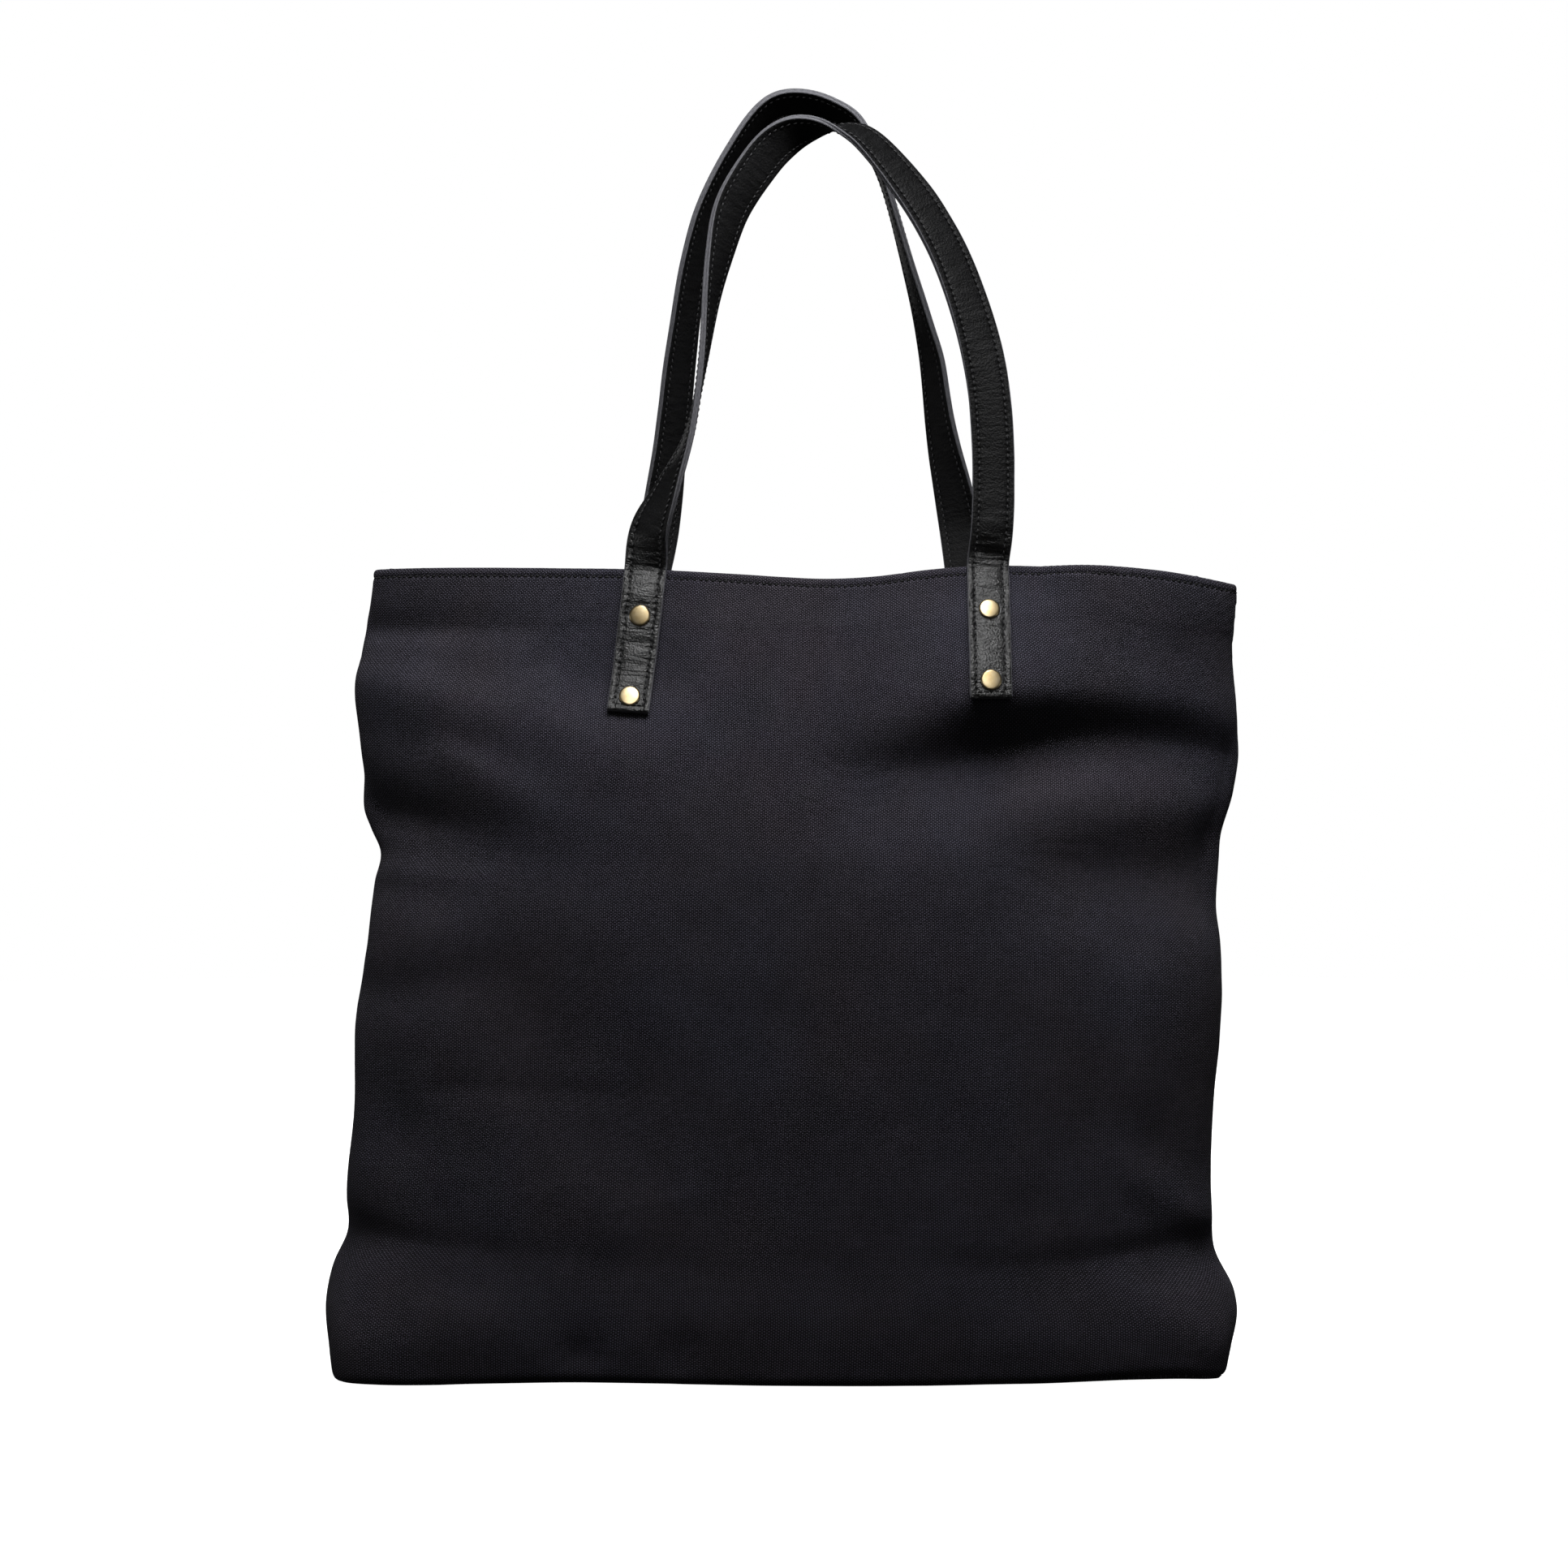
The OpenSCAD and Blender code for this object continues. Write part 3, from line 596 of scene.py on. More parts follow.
def edge_material(name):
    """Cut edge of the leather, fibrous and dull."""
    m, nt, bsdf = new_material(name)
    uv = cloth_uv(nt)
    fibre = noise_node(nt, stretch(nt, uv, (2500, 600, 1)), 1.0, 3, 0.6)
    add_color(nt, bsdf, fibre, [(0.3, (0.022, 0.022, 0.026)), (0.7, (0.085, 0.085, 0.094))])
    add_roughness(nt, bsdf, fibre, 0.2, 0.65)
    add_bump(nt, bsdf, fibre, 0.5, 0.2)
    return m


def thread_material(name, dark, light):
    m, nt, bsdf = new_material(name)
    co = nt.nodes.new("ShaderNodeTexCoord")
    ply = noise_node(nt, co.outputs["Object"], 3200, 2, 0.6)
    add_color(nt, bsdf, ply, [(0.35, dark), (0.65, light)])
    add_roughness(nt, bsdf, ply, 0.2, 0.5)
    add_bump(nt, bsdf, ply, 0.5, 0.12)
    return m


def brass_material(name):
    m, nt, bsdf = new_material(name)
    co = nt.nodes.new("ShaderNodeTexCoord")
    worn = noise_node(nt, co.outputs["Object"], 260, 4, 0.6)
    fine = noise_node(nt, stretch(nt, co.outputs["Object"], (1400, 1400, 5200)), 1.0, 2, 0.6)
    add_color(nt, bsdf, worn, [(0.3, (0.5, 0.37, 0.18)), (0.72, (0.6, 0.5, 0.32))])
    add_roughness(nt, bsdf, fine, 0.12, 0.26)
    add_bump(nt, bsdf, fine, 0.1, 0.006)
    bsdf.inputs["Metallic"].default_value = 1.0
    return m


CANVAS = canvas_material("canvas", (0.0045, 0.0042, 0.0056), (0.066, 0.062, 0.0815))
CANVAS_IN = canvas_material("canvas_inside", (0.0052, 0.0049, 0.0064), (0.07, 0.066, 0.085))
# dark, light, roughness, shine, wrinkle: the strap ends are shinier and more wrinkled than the loops
LEATHER = leather_material("leather", (0.0009, 0.0009, 0.001), (0.0036, 0.0036, 0.0038), 0.3, 0.9, 1.7)
LEATHER_LOOP = leather_material("leather_loop", (0.0014, 0.0014, 0.0015), (0.005, 0.005, 0.0053),
                                0.44, 0.22, 0.8)
LEATHER_IN = leather_material("leather_inner", (0.0024, 0.0024, 0.0026), (0.0085, 0.0085, 0.0088),
                              0.55, 0.12, 0.6)
EDGE = edge_material("leather_edge")
THREAD = thread_material("thread", (0.002, 0.002, 0.0023), (0.009, 0.009, 0.0098))
STRAP_THREAD = thread_material("strap_thread", (0.005, 0.005, 0.0055), (0.02, 0.02, 0.0215))
BRASS = brass_material("brass")

# ------------------------------ stitches
STITCH_SIDES = 6
# rings of a stitch along its length: (place, radius, lift), as shares of its length and radius
STITCH_RINGS = [(-0.5, 0.25, -0.55), (-0.4, 0.8, 0.15), (-0.15, 1.0, 0.5), (0.15, 1.0, 0.5),
                (0.4, 0.8, 0.15), (0.5, 0.25, -0.55)]


def stitch_mesh(centres, along, out, length, radius):
    """Short rounded stitches: each lies along one direction, half sunk in the surface."""
    across = np.cross(along, out)
    ang = np.linspace(0, 2 * math.pi, STITCH_SIDES, endpoint=False)
    ring = np.stack([np.cos(ang), np.sin(ang)], -1)
    turn = ring[None, :, :1] * across[:, None, :] + ring[None, :, 1:] * out[:, None, :]
    rings = []
    for place, share, lift in STITCH_RINGS:
        c = centres + along * (place * length) + out * (lift * radius)
        rings.append(c[:, None, :] + radius * share * turn)
    verts = np.stack(rings, 1).reshape(-1, 3)
    per = len(STITCH_RINGS) * STITCH_SIDES
    one = grid_faces(len(STITCH_RINGS), STITCH_SIDES, close=True)
    starts = [k * per for k in range(len(centres))]
    faces = np.vstack([one + k for k in starts]).tolist()
    for k in starts:
        faces.append([k + i for i in range(STITCH_SIDES)][::-1])
        faces.append([k + per - STITCH_SIDES + i for i in range(STITCH_SIDES)])
    return verts, faces


# ------------------------------ walls, hem, facing, base
front = build_wall(-1, 300, 250, FRONT_STROKES, FRONT_RIM, SEED)
back = build_wall(1, 200, 180, BACK_STROKES, BACK_RIM, SEED + 50)
WALLS = (("front", front), ("back", back))


def panel_object(name, wall, node_name):
    """Front or back panel, thicker at the rim."""
    p, n = wall["p"], wall["n"]
    drop = BODY_H - wall["z"]
    thick = np.interp(drop, [0, 0.3, 1.0, 4, HEM, HEM + 4], [1.0, 1.6, 2.1, 2.1, 1.5, CANVAS_T])
    thick = thick * np.interp(wall["z"], [0, 2, 5], [0.6, 0.9, 1])
    inner = p - n * thick[:, None, None]
    inner[..., 1] = wall["side"] * np.maximum(wall["side"] * inner[..., 1], SEAM_GAP)
    inner[:, [0, -1], 1] = wall["side"] * SEAM_GAP
    rows, cols = p.shape[:2]
    count = (rows - 1) * (cols - 1)
    index = np.zeros(len(shell_faces(rows, cols)), int)
    index[count:2 * count] = 1
    uv = np.stack(np.meshgrid(wall["flat"], wall["z"]), -1)
    ob = shell_object(name, wall, p, inner, uv, [CANVAS, CANVAS_IN], index)
    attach(ob, "bag")
    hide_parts(node_name)


for label, wall in WALLS:
    panel_object(f"{label}_panel_cloth", wall, f"{label}_panel")

FACING_DEPTH = -2.25        # outer side of the facing, from the outer side of the panel
FACING_T = 1.1
FACING_TOP = 1.2            # below the rim


def facing_object(name, wall, label):
    """Facing band inside the rim, thinner at its upper and lower edge."""
    rows, cols = 14, 160
    low, high = BODY_H - HEM, BODY_H - FACING_TOP
    ff, zz = np.meshgrid(np.linspace(0.0015, 0.9985, cols), np.linspace(low, high, rows))
    soft = 0.2 * (np.exp(-(zz - low) / 0.8) + np.exp(-(high - zz) / 0.8))
    outer, n = sample(wall, ff, zz, FACING_DEPTH)
    inner = outer - n * (FACING_T - soft)[..., None]
    for g in (outer, inner):
        g[..., 1] = wall["side"] * np.maximum(wall["side"] * g[..., 1], 2 * SEAM_GAP)
        g[:, [0, -1], 1] = wall["side"] * 2 * SEAM_GAP
    ob = shell_object(name, wall, outer, inner, np.stack([ff * TEXTURE_W, zz], -1), [CANVAS_IN])
    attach(ob, "bag")
    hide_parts(f"{label}_facing")


for label, wall in WALLS:
    facing_object(f"{label}_facing_cloth", wall, label)

HEM_PITCH = 3.0
HEM_TILT = 0.05             # each stitch stands a little askew
HEM_DEPTH = 3.4             # from the outer stitches to the inner ones


def hem_stitches(name, wall, drop, face):
    """Row of stitches along the rim, on the outside (face 1) or the inside (face -1)."""
    f = np.linspace(0.004, 0.996, 4000)
    p, n = sample(wall, f, np.full(f.shape, BODY_H - drop))
    if face < 0:
        p, n = p - n * HEM_DEPTH, -n
    s = np.concatenate([[0], np.cumsum(np.linalg.norm(np.diff(p, axis=0), axis=1))])
    at = np.arange(HEM_PITCH, s[-1] - HEM_PITCH, HEM_PITCH)
    at = at + np.random.RandomState(SEED).uniform(-0.12, 0.12, len(at))
    c = np.stack([np.interp(at, s, p[:, k]) for k in range(3)], -1)
    o = unit(np.stack([np.interp(at, s, n[:, k]) for k in range(3)], -1))
    ahead = np.stack([np.interp(at + 0.5, s, p[:, k]) for k in range(3)], -1)
    t = unit(ahead - c)
    t = unit(t - o * (t * o).sum(-1, keepdims=True))
    t = unit(t + np.cross(o, t) * HEM_TILT)
    verts, faces = stitch_mesh(c - o * 0.02, t, o, 2.1, 0.5)
    ob = make_object(name, verts, faces, None, [THREAD])
    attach(ob, "bag")


for ending, drop, face in (("", 4.2, 1), ("_inside", 4.4, -1)):
    for label, wall in WALLS:
        hem_stitches(f"{label}_hem_stitches{ending}", wall, drop, face)

BASE_T = 1.3


def base_object():
    """Base panel: rings from its edge to its middle, turned up at the edge."""
    ring = []
    for wall, order in ((front, 1), (back, -1)):
        f = np.linspace(0.003, 0.997, 140)[::order]
        p, _ = sample(wall, f, np.full(f.shape, 0.6), -1.0)
        ring.append(p)
    ring = np.vstack(ring)
    ring[:, 2] = 0
    rings = [1.0, 0.995, 0.985, 0.96, 0.9, 0.8, 0.65, 0.5, 0.35, 0.2, 0.08]
    heights = [1.9, 0.9, 0.3, 0.1, 0.1, 0.15, 0.2, 0.2, 0.2, 0.2, 0.2]
    low = np.stack([ring * [k, k, 0] + [0, 0, h] for k, h in zip(rings, heights)])
    low[2:, :, 2] += 0.25 + 0.25 * noise2(low[2:, :, 0], low[2:, :, 1], 60, SEED + 5)
    low[..., 2] += 0.5 * smooth_table(FOOT_LIFT, low[..., 0]) * ease((-low[..., 1] - 25) / 35)
    low[..., 2] = np.maximum(low[..., 2], 0.02)
    high = low.copy()
    high[..., 2] += BASE_T
    rows, cols = low.shape[:2]
    verts = np.vstack([low.reshape(-1, 3), high.reshape(-1, 3), [[0, 0, 0.4], [0, 0, 0.4 + BASE_T]]])
    n = rows * cols
    faces = grid_faces(rows, cols, close=True).tolist()
    faces += grid_faces(rows, cols, n, flip=True, close=True).tolist()
    last = (rows - 1) * cols
    for j in range(cols):
        k = (j + 1) % cols
        faces.append([j, n + j, n + k, k])
        faces.append([last + j, last + k, 2 * n])
        faces.append([n + last + k, n + last + j, 2 * n + 1])
    ob = make_object("base_panel_cloth", verts, faces, verts[:, :2], [CANVAS_IN])
    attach(ob, "bag")
    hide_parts("base_panel")


base_object()


def binding_object(name, hand, node_name):
    """Folded tape over the raw seam edges, inside the side seam."""
    z = np.linspace(5, BODY_H - HEM - 2, 120)
    p, _ = sample(front, np.full(z.shape, 0.0 if hand < 0 else 1.0), z)
    x = p[:, 0] - hand * 2.4
    wave = 0.5 * np.sin(z / 13.0) + 0.4 * np.sin(z / 5.3)
    section = [(0, -1.0), (0, 1.0), (5, 1.15), (8.2, 1.0), (9.2, 0.5), (9.2, -0.5), (8.2, -1.0), (5, -1.15)]
    pts = np.stack([np.stack([x - hand * a, b + wave * min(a, 6) / 6, z], -1) for a, b in section], 1)
    rows, cols = pts.shape[:2]
    faces = grid_faces(rows, cols, close=True, flip=hand < 0).tolist()
    order = 1 if hand < 0 else -1
    faces.append(list(range(cols))[::order])
    faces.append([(rows - 1) * cols + i for i in range(cols)][::-order])
    u = np.repeat(np.arange(cols)[None] * 3.0, rows, 0)
    uv = np.stack([u, np.repeat(z[:, None], cols, 1)], -1).reshape(-1, 2)
    ob = make_object(name, pts.reshape(-1, 3), faces, uv, [CANVAS_IN])
    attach(ob, "bag")
    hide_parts(node_name)


binding_object("left_seam_tape", -1, "left_seam_binding")
binding_object("right_seam_tape", 1, "right_seam_binding")

# ------------------------------ straps
STRAP_T = 3.1
STRAP_HALF = 10             # half width
STRAP_ROW = 0.75            # distance of the mesh rows along the strap
SMOOTH_ROWS = 13            # rows to each side that the route is smoothed over
TAB_GAP = 0.35              # between a strap end and its panel
TAB_LEN = 71.0              # usual length of a strap end below the rim
POLISH = 16.0               # the shinier leather goes on this far above the rim
LOOP_SINK = 2.1             # the loops lie this much lower than the heights of their routes
STITCH_IN = 3.2             # from the edge of the strap
STITCH_START = 4.2          # from the cut end
STITCH_PITCH = 3.0
# The left and right end of each strap: (place on the rim, sideways lean for each mm down, length, upper
# rivet below the rim, distance between the rivets).
FRONT_TABS = ((-65.6, -0.115, 72.7, 25.0, 40.2), (97.0, 0.006, 71.2, 25.9, 36.8))
BACK_TABS = ((-66.0, -0.06, 71.5, 24.5, 40), (89.0, 0.04, 71, 25, 39.5))
# Section of the strap as (across, out): crowned, pulled in at the stitch rows, with the joint of the two
# plies in the middle of the edge.
HALF = [(0, 1.7), (3, 1.66), (5.4, 1.52), (6.3, 1.3), (6.8, 1.16), (7.3, 1.3), (8.1, 1.52), (9.0, 1.52),
        (9.6, 1.4)]
RIM_EDGE = [(9.93, 1.2), (10.02, 0.9), (10.0, 0.3), (9.8, 0.04), (9.8, -0.04), (10.0, -0.3), (10.02, -0.9),
            (9.93, -1.2)]
SECTION = (RIM_EDGE[4:] + [(w, -h) for w, h in HALF[::-1]] + [(-w, -h) for w, h in HALF[1:]]
           + [(-w, -h) for w, h in RIM_EDGE] + [(-w, h) for w, h in HALF[:0:-1]] + HALF + RIM_EDGE[:4])

# Routes of the loops as seen from the front: [x, y, height, twist]. Twist 90 lies flat on the front panel
# with the outer face out, and -90 on the back panel. 0 has the outer face up.
FRONT_ROUTE = [[-63.8, -33.6, 405, 64], [-54.8, -32.5, 426, 32], [-44.5, -30, 452, 8],
               [-38.6, -27, 484, -3], [-34.6, -24, 515, -18], [-30.2, -21.5, 538, -36],
               [-24, -19.5, 559, -54], [-11, -17.5, 579, -66], [-3, -17, 588, -62],
               [6, -16.5, 593.5, -42], [18, -16.5, 595.7, -10], [28, -17, 594.8, 20],
               [40, -17.5, 589.5, 42], [60, -19.5, 566.5, 56], [73.5, -21.5, 545.5, 62],
               [82.5, -23, 526, 66], [91.2, -25.5, 500, 74], [96.4, -27.5, 476, 86],
               [98.8, -28.6, 452, 90], [99.4, -29.4, 428, 90], [98.6, -30.4, 404, 90]]
BACK_ROUTE = [[-59.5, 33, 403, -72], [-55, 31.5, 436, -51], [-52, 29.5, 460, -47],
              [-49.4, 27.5, 484, -43], [-46.4, 25, 507, -38], [-42.6, 22.8, 531, -34],
              [-37.6, 21, 553, -28], [-29.6, 19.8, 571.5, -25], [-21, 19, 586.5, -24],
              [-12.3, 18.4, 598.5, -27], [-4, 18, 605.5, -30], [4, 18, 607, -31], [14, 18, 606.2, -28],
              [24, 18.2, 603, -22], [34.3, 18.6, 597, -15], [44, 19.6, 579.5, -6], [50.8, 21, 559.5, -3],
              [58.6, 23, 531, -8], [63, 24.5, 515, -13], [67, 26, 499, -20], [70.3, 27.5, 484, -29],
              [73, 29, 462, -35], [76, 30.5, 443, -45], [80, 32, 424, -62], [83.6, 33, 404, -80]]
TAB_TWIST = 86


def tab_rows(wall, x_rim, lean, length, twist):
    """Rows [x, y, height, twist] of a strap end that lies on a panel, from its cut end up to the rim."""
    count = 8
    z = np.arange(BODY_H - 0.3, BODY_H - length - 6, -4.0)
    x = x_rim + lean * (BODY_H - z)
    f = np.array([fraction_at(wall, a, b) for a, b in zip(x, z)])
    p, _ = sample(wall, f, z, STRAP_T / 2 + TAB_GAP)
    s = np.concatenate([[0], np.cumsum(np.linalg.norm(np.diff(p, axis=0), axis=1))])
    at = np.linspace(length, 0.3, count)
    return [[*(np.interp(d, s, p[:, k]) for k in range(3)), twist] for d in at]


def strap_path(wall, left, right, route, twist):
    """Middle line of a strap from end to end, with its directions and the places of its rivets."""
    up = tab_rows(wall, *left[:3], twist)
    down = tab_rows(wall, *right[:3], twist)[::-1]
    mid = []
    for x, y, z, t in route:
        mid.append([*seen(x, y, z - LOOP_SINK), t])
    rows = np.array(up + mid + down, float)
    # even spacing along the strap
    c = spline(rows, 40)
    s = np.concatenate([[0], np.cumsum(np.linalg.norm(np.diff(c[:, :3], axis=0), axis=1))])
    n = int(s[-1] / STRAP_ROW)
    at = np.linspace(0, s[-1], n)
    pos = np.stack([np.interp(at, s, c[:, k]) for k in range(3)], -1)
    half = SMOOTH_ROWS
    ker = np.hanning(2 * half + 1)
    ker /= ker.sum()
    tw = np.interp(at, s, c[:, 3])
    tw = np.convolve(np.pad(tw, half, mode="edge"), ker, "valid")
    for k in range(3):
        before, after = pos[half:0:-1, k], pos[-2:-half - 2:-1, k]
        padded = np.concatenate([2 * pos[0, k] - before, pos[:, k], 2 * pos[-1, k] - after])
        pos[:, k] = np.convolve(padded, ker, "valid")
    t = unit(np.gradient(pos, axis=0))
    y = np.array([0, 1.0, 0])
    deep = unit(y - t * (t @ y)[:, None])
    side_on = np.cross(t, deep)
    a = np.radians(tw)[:, None]
    w = np.cos(a) * deep + np.sin(a) * side_on
    _, _, left_len, left_drop, left_pitch = left
    _, _, right_len, right_drop, right_pitch = right
    rivets = [left_len - left_drop - left_pitch, left_len - left_drop,
              s[-1] - right_len + right_drop, s[-1] - right_len + right_drop + right_pitch]
    return {"pos": pos, "t": t, "w": w, "n": np.cross(t, w), "s": at, "len": s[-1], "rivets": rivets}


def frame_at(path, s):
    """Points of a path at lengths s from its start, and its directions along, across and out there."""
    def at(key):
        return np.stack([np.interp(s, path["s"], path[key][:, k]) for k in range(3)], -1)

    return at("pos"), unit(at("t")), unit(at("w")), unit(at("n"))


def strap_object(name, path, nodes, seed):
    """Whole strap of two plies with its stitches, as one mesh."""
    sec = np.array(SECTION)
    pos, w, n, s = path["pos"], path["w"], path["n"], path["s"]
    # creases where the leather bends at the rim and on the strap ends, and dimples round the rivets
    end = np.minimum(s, path["len"] - s)
    bend = np.exp(-((end - TAB_LEN - 10) / 17) ** 2) + 0.75 * np.exp(-((end - TAB_LEN + 32) / 26) ** 2)
    across, along = np.meshgrid(sec[:, 0], s)
    crease = noise2(across * 0.22 + along * 0.1, along, 4.2, seed, 3) * (0.08 + 0.95 * bend[:, None])
    crease = crease * ease((9.6 - np.abs(across)) / 2.5)
    dimple = np.zeros(crease.shape)
    for r in path["rivets"]:
        dist = np.hypot(across, along - r)
        dimple -= 0.28 * np.exp(-((dist - 5.2) / 1.6) ** 2) + 0.3 * (dist < 5)
    face = np.sign(sec[:, 1])[None, :]
    swell = 0.1 * noise2(across, along, 24, seed + 4, 2)
    pull = 0.5 + 0.5 * np.cos(2 * math.pi * (along - STITCH_START - STITCH_PITCH / 2) / STITCH_PITCH)
    swell += np.exp(-((np.abs(across) - STRAP_HALF + STITCH_IN) / 0.8) ** 2) * (0.1 - 0.5 * pull**2)
    edge = 0.16 * noise2(along, np.sign(across) * 50, 20, seed + 8, 2) * (np.abs(across) > 8)
    wid = sec[:, 0][None, :] + np.sign(sec[:, 0])[None, :] * edge
    out = sec[:, 1][None, :] + (face > 0) * (crease + dimple) + swell
    squeeze = 1 - 0.25 * np.exp(-end / 0.5)
    verts = (pos[:, None, :] + w[:, None, :] * (wid * (1 - 0.02 * np.exp(-end / 0.8)[:, None]))[..., None]
             + n[:, None, :] * (out * squeeze[:, None])[..., None])
    rows, cols = verts.shape[:2]
    faces = grid_faces(rows, cols, close=True, flip=True).tolist()
    mid = sec[np.arange(cols)] * 0.5 + sec[(np.arange(cols) + 1) % cols] * 0.5
    # material of each face: 0 outer, 1 inner, 2 edge, 3 thread, and 4 for the outer side of the loop
    kind = np.where(np.abs(mid[:, 0]) > 9.7, 2, np.where(mid[:, 1] > 0, 0, 1))
    loop = end[:-1] > TAB_LEN + POLISH
    index = np.where(loop[:, None] & (kind == 0)[None, :], 4, kind[None, :]).ravel().tolist()
    faces.append(list(range(cols)))
    faces.append([(rows - 1) * cols + i for i in range(cols)][::-1])
    index += [2, 2]
    arc = np.concatenate([[0], np.cumsum(np.hypot(*np.diff(sec, axis=0).T))])
    uv = np.stack([np.repeat(arc[None], rows, 0), np.repeat(s[:, None], cols, 1)], -1).reshape(-1, 2)
    parts = [verts.reshape(-1, 3)]

    def add_stitches(centres, along, out, length, radius):
        v, f = stitch_mesh(centres, along, out, length, radius)
        start = sum(map(len, parts))
        parts.append(v)
        faces.extend([[i + start for i in corner] for corner in f])
        index.extend([3] * len(f))

    # along both edges, on both faces
    jit = np.random.RandomState(seed)
    for edge_side in (-1, 1):
        for face_side in (1, -1):
            at = np.arange(STITCH_START, path["len"] - 4.0, STITCH_PITCH)
            at = at + jit.uniform(-0.1, 0.1, len(at))
            c, t, ww, nn = frame_at(path, at)
            c = c + ww * (edge_side * (STRAP_HALF - STITCH_IN)) + nn * face_side * 1.36
            add_stitches(c, unit(t + ww * 0.08 * edge_side), nn * face_side, 2.2, 0.4)
    # across the cut ends
    for e in (STITCH_IN, path["len"] - STITCH_IN):
        off = np.arange(-5.2, 5.3, 2.6)
        c, _, ww, nn = frame_at(path, [e])
        cc = c + ww * off[:, None] + nn * 1.56
        add_stitches(cc, np.repeat(ww, len(off), 0), np.repeat(nn, len(off), 0), 2.1, 0.34)
    points = np.vstack(parts)
    uv = np.vstack([uv, np.zeros((len(points) - len(uv), 2))])
    leathers = [LEATHER, LEATHER_IN, EDGE, STRAP_THREAD, LEATHER_LOOP]
    ob = make_object(name, points, faces, uv, leathers, index)
    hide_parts(*nodes)
    return ob


front_path = strap_path(front, *FRONT_TABS, FRONT_ROUTE, TAB_TWIST)
back_path = strap_path(back, *BACK_TABS, BACK_ROUTE, -TAB_TWIST)

for label, path in (("front", front_path), ("back", back_path)):
    nodes = [f"{label}_{hand}_tab_{ply}_ply" for hand in ("left", "right") for ply in ("outer", "inner")]
    nodes += [f"{label}_loop_outer_ply", f"{label}_loop_inner_ply"]
    strap = strap_object(f"{label}_handle_strap", path, nodes, SEED + (20 if label == "front" else 70))
    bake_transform(strap)


# ------------------------------ rivets and backing
def lathe(profile, centre, axis, up, segments):
    """Turned piece: profile is (radius, height) along axis."""
    axis, up = unit(np.array(axis)), np.array(up)
    a = unit(np.cross(up, axis))
    b = np.cross(axis, a)
    ang = np.linspace(0, 2 * math.pi, segments, endpoint=False)
    spokes = np.cos(ang)[:, None] * a + np.sin(ang)[:, None] * b
    verts = np.vstack([centre + axis * h + r * spokes for r, h in profile])
    faces = grid_faces(len(profile), segments, close=True).tolist()
    faces.append(list(range(segments))[::-1])
    faces.append([(len(profile) - 1) * segments + i for i in range(segments)])
    return verts, faces


# profiles of the domed cap and of the post with its inner head, as (radius, height)
CAP = [(4.2, -0.5), (4.75, -0.25), (4.98, 0.1), (5.0, 0.5), (4.93, 0.82), (4.76, 1.06), (4.5, 1.2),
       (4.2, 1.27), (3.8, 1.32), (3.1, 1.39), (2.3, 1.44), (1.5, 1.475), (0.7, 1.49), (0.1, 1.495)]
HEAD = [(1.6, -5.5), (1.6, 0), (4.3, 0.0), (4.5, 0.2), (4.45, 0.5), (4.1, 0.7), (3.0, 0.78), (1.4, 0.6),
        (0.15, 0.55)]
UPPER_STACK = 4.6           # cloth behind an upper rivet, where the facing and the patch overlap
LOWER_STACK = 2.6           # and behind a lower one

for label, path in (("front", front_path), ("back", back_path)):
    for name, s in zip(["left_lower", "left_upper", "right_upper", "right_lower"], path["rivets"]):
        c, t, _, n = (v[0] for v in frame_at(path, [s]))
        jitter = np.random.RandomState(SEED + len(name) + int(s)).uniform(-0.03, 0.03, 3)
        stack = UPPER_STACK if "upper" in name else LOWER_STACK
        pieces = (("cap", CAP, c + n * (STRAP_T / 2 - 0.05), unit(n + jitter), 56),
                  ("post", HEAD, c - n * (STRAP_T / 2 + TAB_GAP + stack), -n, 28))
        for kind, profile, place, axis, segments in pieces:
            verts, faces = lathe(profile, place, axis, t, segments)
            ob = make_object(f"{label}_{name}_{kind}", verts, faces, None, [BRASS])
            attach(ob, "bag")
            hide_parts(f"{label}_{name}_rivet_{kind}")

PATCH_W = 26
PATCH_T = 1.0
PATCH_TOP = 8               # below the rim
PATCH_BOTTOM = 74
PATCH_DEPTH = 1.35          # outer side of the patch, from the outer side of the panel
PATCH_STEP = 2.15           # further in behind the facing


def patch_object(label, hand, wall, x, lean):
    """Backing patch behind a strap end, stepped over the lower edge of the facing."""
    rows, cols = 40, 20
    d = np.linspace(PATCH_BOTTOM, PATCH_TOP, rows)
    centre = np.array([fraction_at(wall, x + lean * k, BODY_H - k) for k in d])
    width = PATCH_W / TEXTURE_W
    f = centre[:, None] + np.linspace(-width / 2, width / 2, cols)[None, :]
    z = np.repeat((BODY_H - d)[:, None], cols, 1)
    depth = -PATCH_DEPTH - PATCH_STEP * ease((z - (BODY_H - HEM - 6)) / 5)
    p, n = sample(wall, f, z)
    outer, inner = p + n * depth[..., None], p + n * (depth - PATCH_T)[..., None]
    uv = np.stack([f * TEXTURE_W, z], -1)
    ob = shell_object(f"{label}_{hand}_backing_cloth", wall, outer, inner, uv, [CANVAS_IN])
    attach(ob, "bag")
    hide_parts(f"{label}_{hand}_backing")


for label, wall, tabs in (("front", front, FRONT_TABS), ("back", back, BACK_TABS)):
    for hand, (x, lean, *_) in zip(("left", "right"), tabs):
        patch_object(label, hand, wall, x, lean)

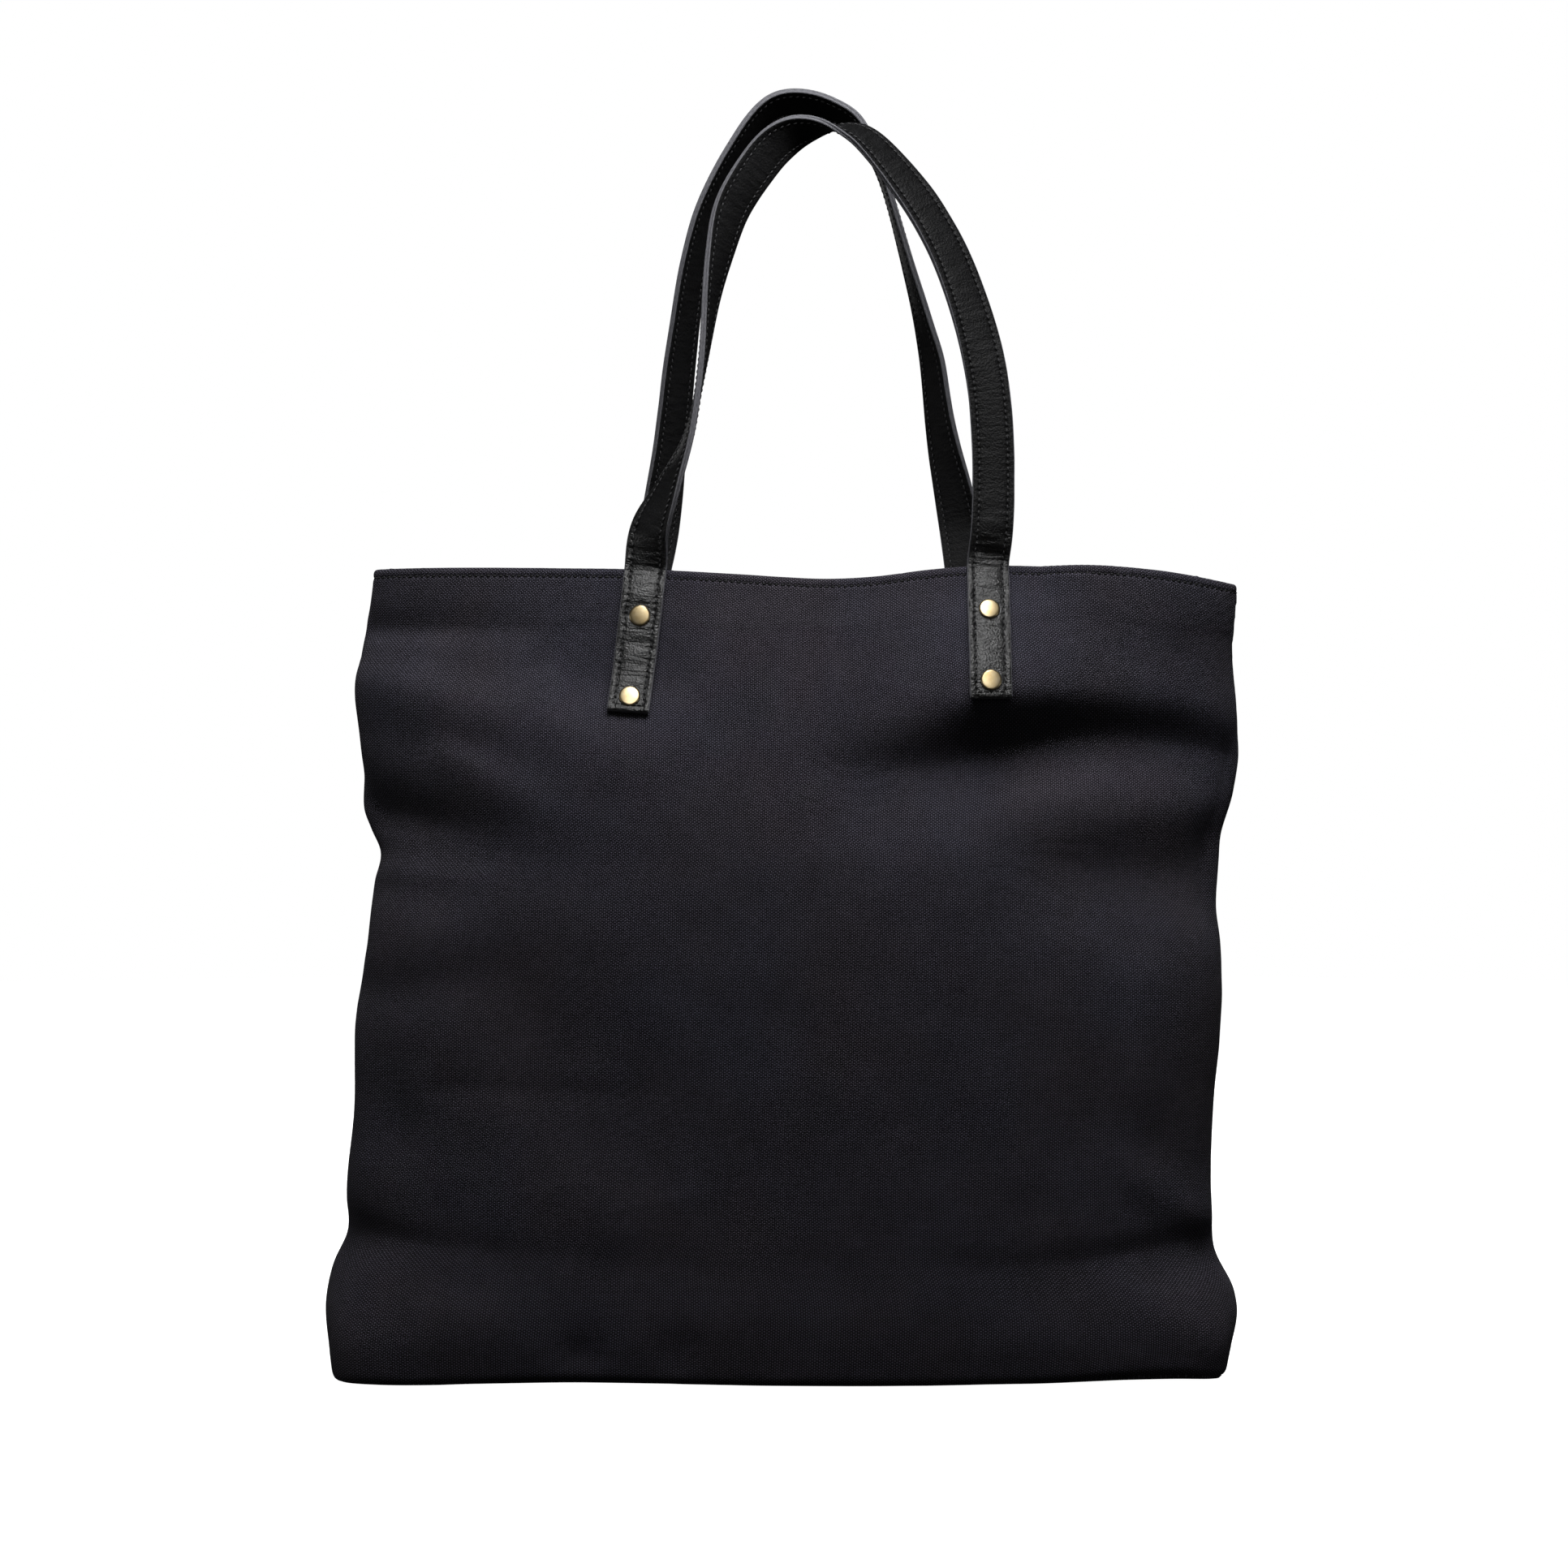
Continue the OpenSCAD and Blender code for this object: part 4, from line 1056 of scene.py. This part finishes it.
# ------------------------------ studio
floor_mesh = bpy.data.meshes.new("studio_floor")
FLOOR_R = 3.0
FLOOR_Y = 1.2
FLOOR_Z = -0.0004
FLOOR_SIDES = 96
ring = [(FLOOR_R * math.cos(a), FLOOR_Y + FLOOR_R * math.sin(a), FLOOR_Z)
        for a in np.linspace(0, 2 * math.pi, FLOOR_SIDES, endpoint=False)]
floor_mesh.from_pydata(ring, [], [list(range(FLOOR_SIDES))])
floor = new_object("studio_floor", floor_mesh)
floor_paper, _, paper = new_material("floor_paper")
paper.inputs["Base Color"].default_value = (0.55, 0.55, 0.55, 1)
paper.inputs["Roughness"].default_value = 0.9
paper.inputs["Emission Color"].default_value = (1, 1, 1, 1)
paper.inputs["Emission Strength"].default_value = 1.0
floor_mesh.materials.append(floor_paper)
floor.visible_diffuse = False
floor.visible_glossy = False


def area_light(name, place, target, size, power):
    """White rectangular light at a place, turned to a target. All in metres."""
    data = bpy.data.lights.new(name, "AREA")
    data.shape = "RECTANGLE"
    data.size, data.size_y = size
    data.energy = power
    ob = new_object(name, data)
    ob.location = place
    ob.rotation_mode = "QUATERNION"
    ob.rotation_quaternion = (Vector(target) - Vector(place)).to_track_quat("-Z", "Y")
    return ob


# the key and the back fill light the cloth, and don't show in the leather and the brass
area_light("key_top", (0.06, -0.3, 1.03), (0.0, -0.02, 0.3), (0.8, 0.4), 15.8).visible_glossy = False
area_light("back_fill", (0.5, 1.8, 1.3), (0, 0.05, 0.25), (0.9, 0.9), 28).visible_glossy = False
# soft cards, which only the leather and the brass reflect
area_light("front_card", (0.1, -2.5, 1.05), (0.0, 0, 0.35), (0.8, 0.9), 3.6).visible_diffuse = False
area_light("front_top", (-0.05, -1.6, 1.3), (0.0, 0, 0.35), (0.7, 0.6), 5.0).visible_diffuse = False
area_light("front_high", (0.04, -0.78, 1.55), (0.04, 0, 0.35), (0.26, 0.5), 10.0).visible_diffuse = False
area_light("back_card", (-0.5, 2.3, 0.9), (0, 0.05, 0.35), (0.8, 0.8), 4).visible_diffuse = False
area_light("side_left", (-1.2, 0.05, 0.25), (0, 0, 0.15), (0.5, 0.5), 1.6)
area_light("side_right", (1.2, -0.3, 0.12), (0, 0, 0.12), (0.5, 0.4), 0.9)

world = bpy.data.worlds.new("studio")
scene.world = world
world.use_nodes = True
wt = world.node_tree
bg = wt.nodes["Background"]
bg.inputs["Color"].default_value = (1, 1, 1, 1)
path_node = wt.nodes.new("ShaderNodeLightPath")
mix = wt.nodes.new("ShaderNodeMix")
mix.inputs["A"].default_value = 0.02
mix.inputs["B"].default_value = 1.0
wt.links.new(path_node.outputs["Is Camera Ray"], mix.inputs["Factor"])
wt.links.new(mix.outputs["Result"], bg.inputs["Strength"])
scene.view_settings.view_transform = "Standard"

cam_data = bpy.data.cameras.new("camera")
cam_data.sensor_width = SENSOR
cam_data.lens = SENSOR * VIEW_DIST / VIEW_W
cam_data.clip_end = 20
camera = new_object("camera", cam_data)
camera.location = (0, (PLANE_Y - VIEW_DIST) * MM, EYE_Z * MM)
camera.rotation_euler = (math.pi / 2, 0, 0)
scene.camera = camera
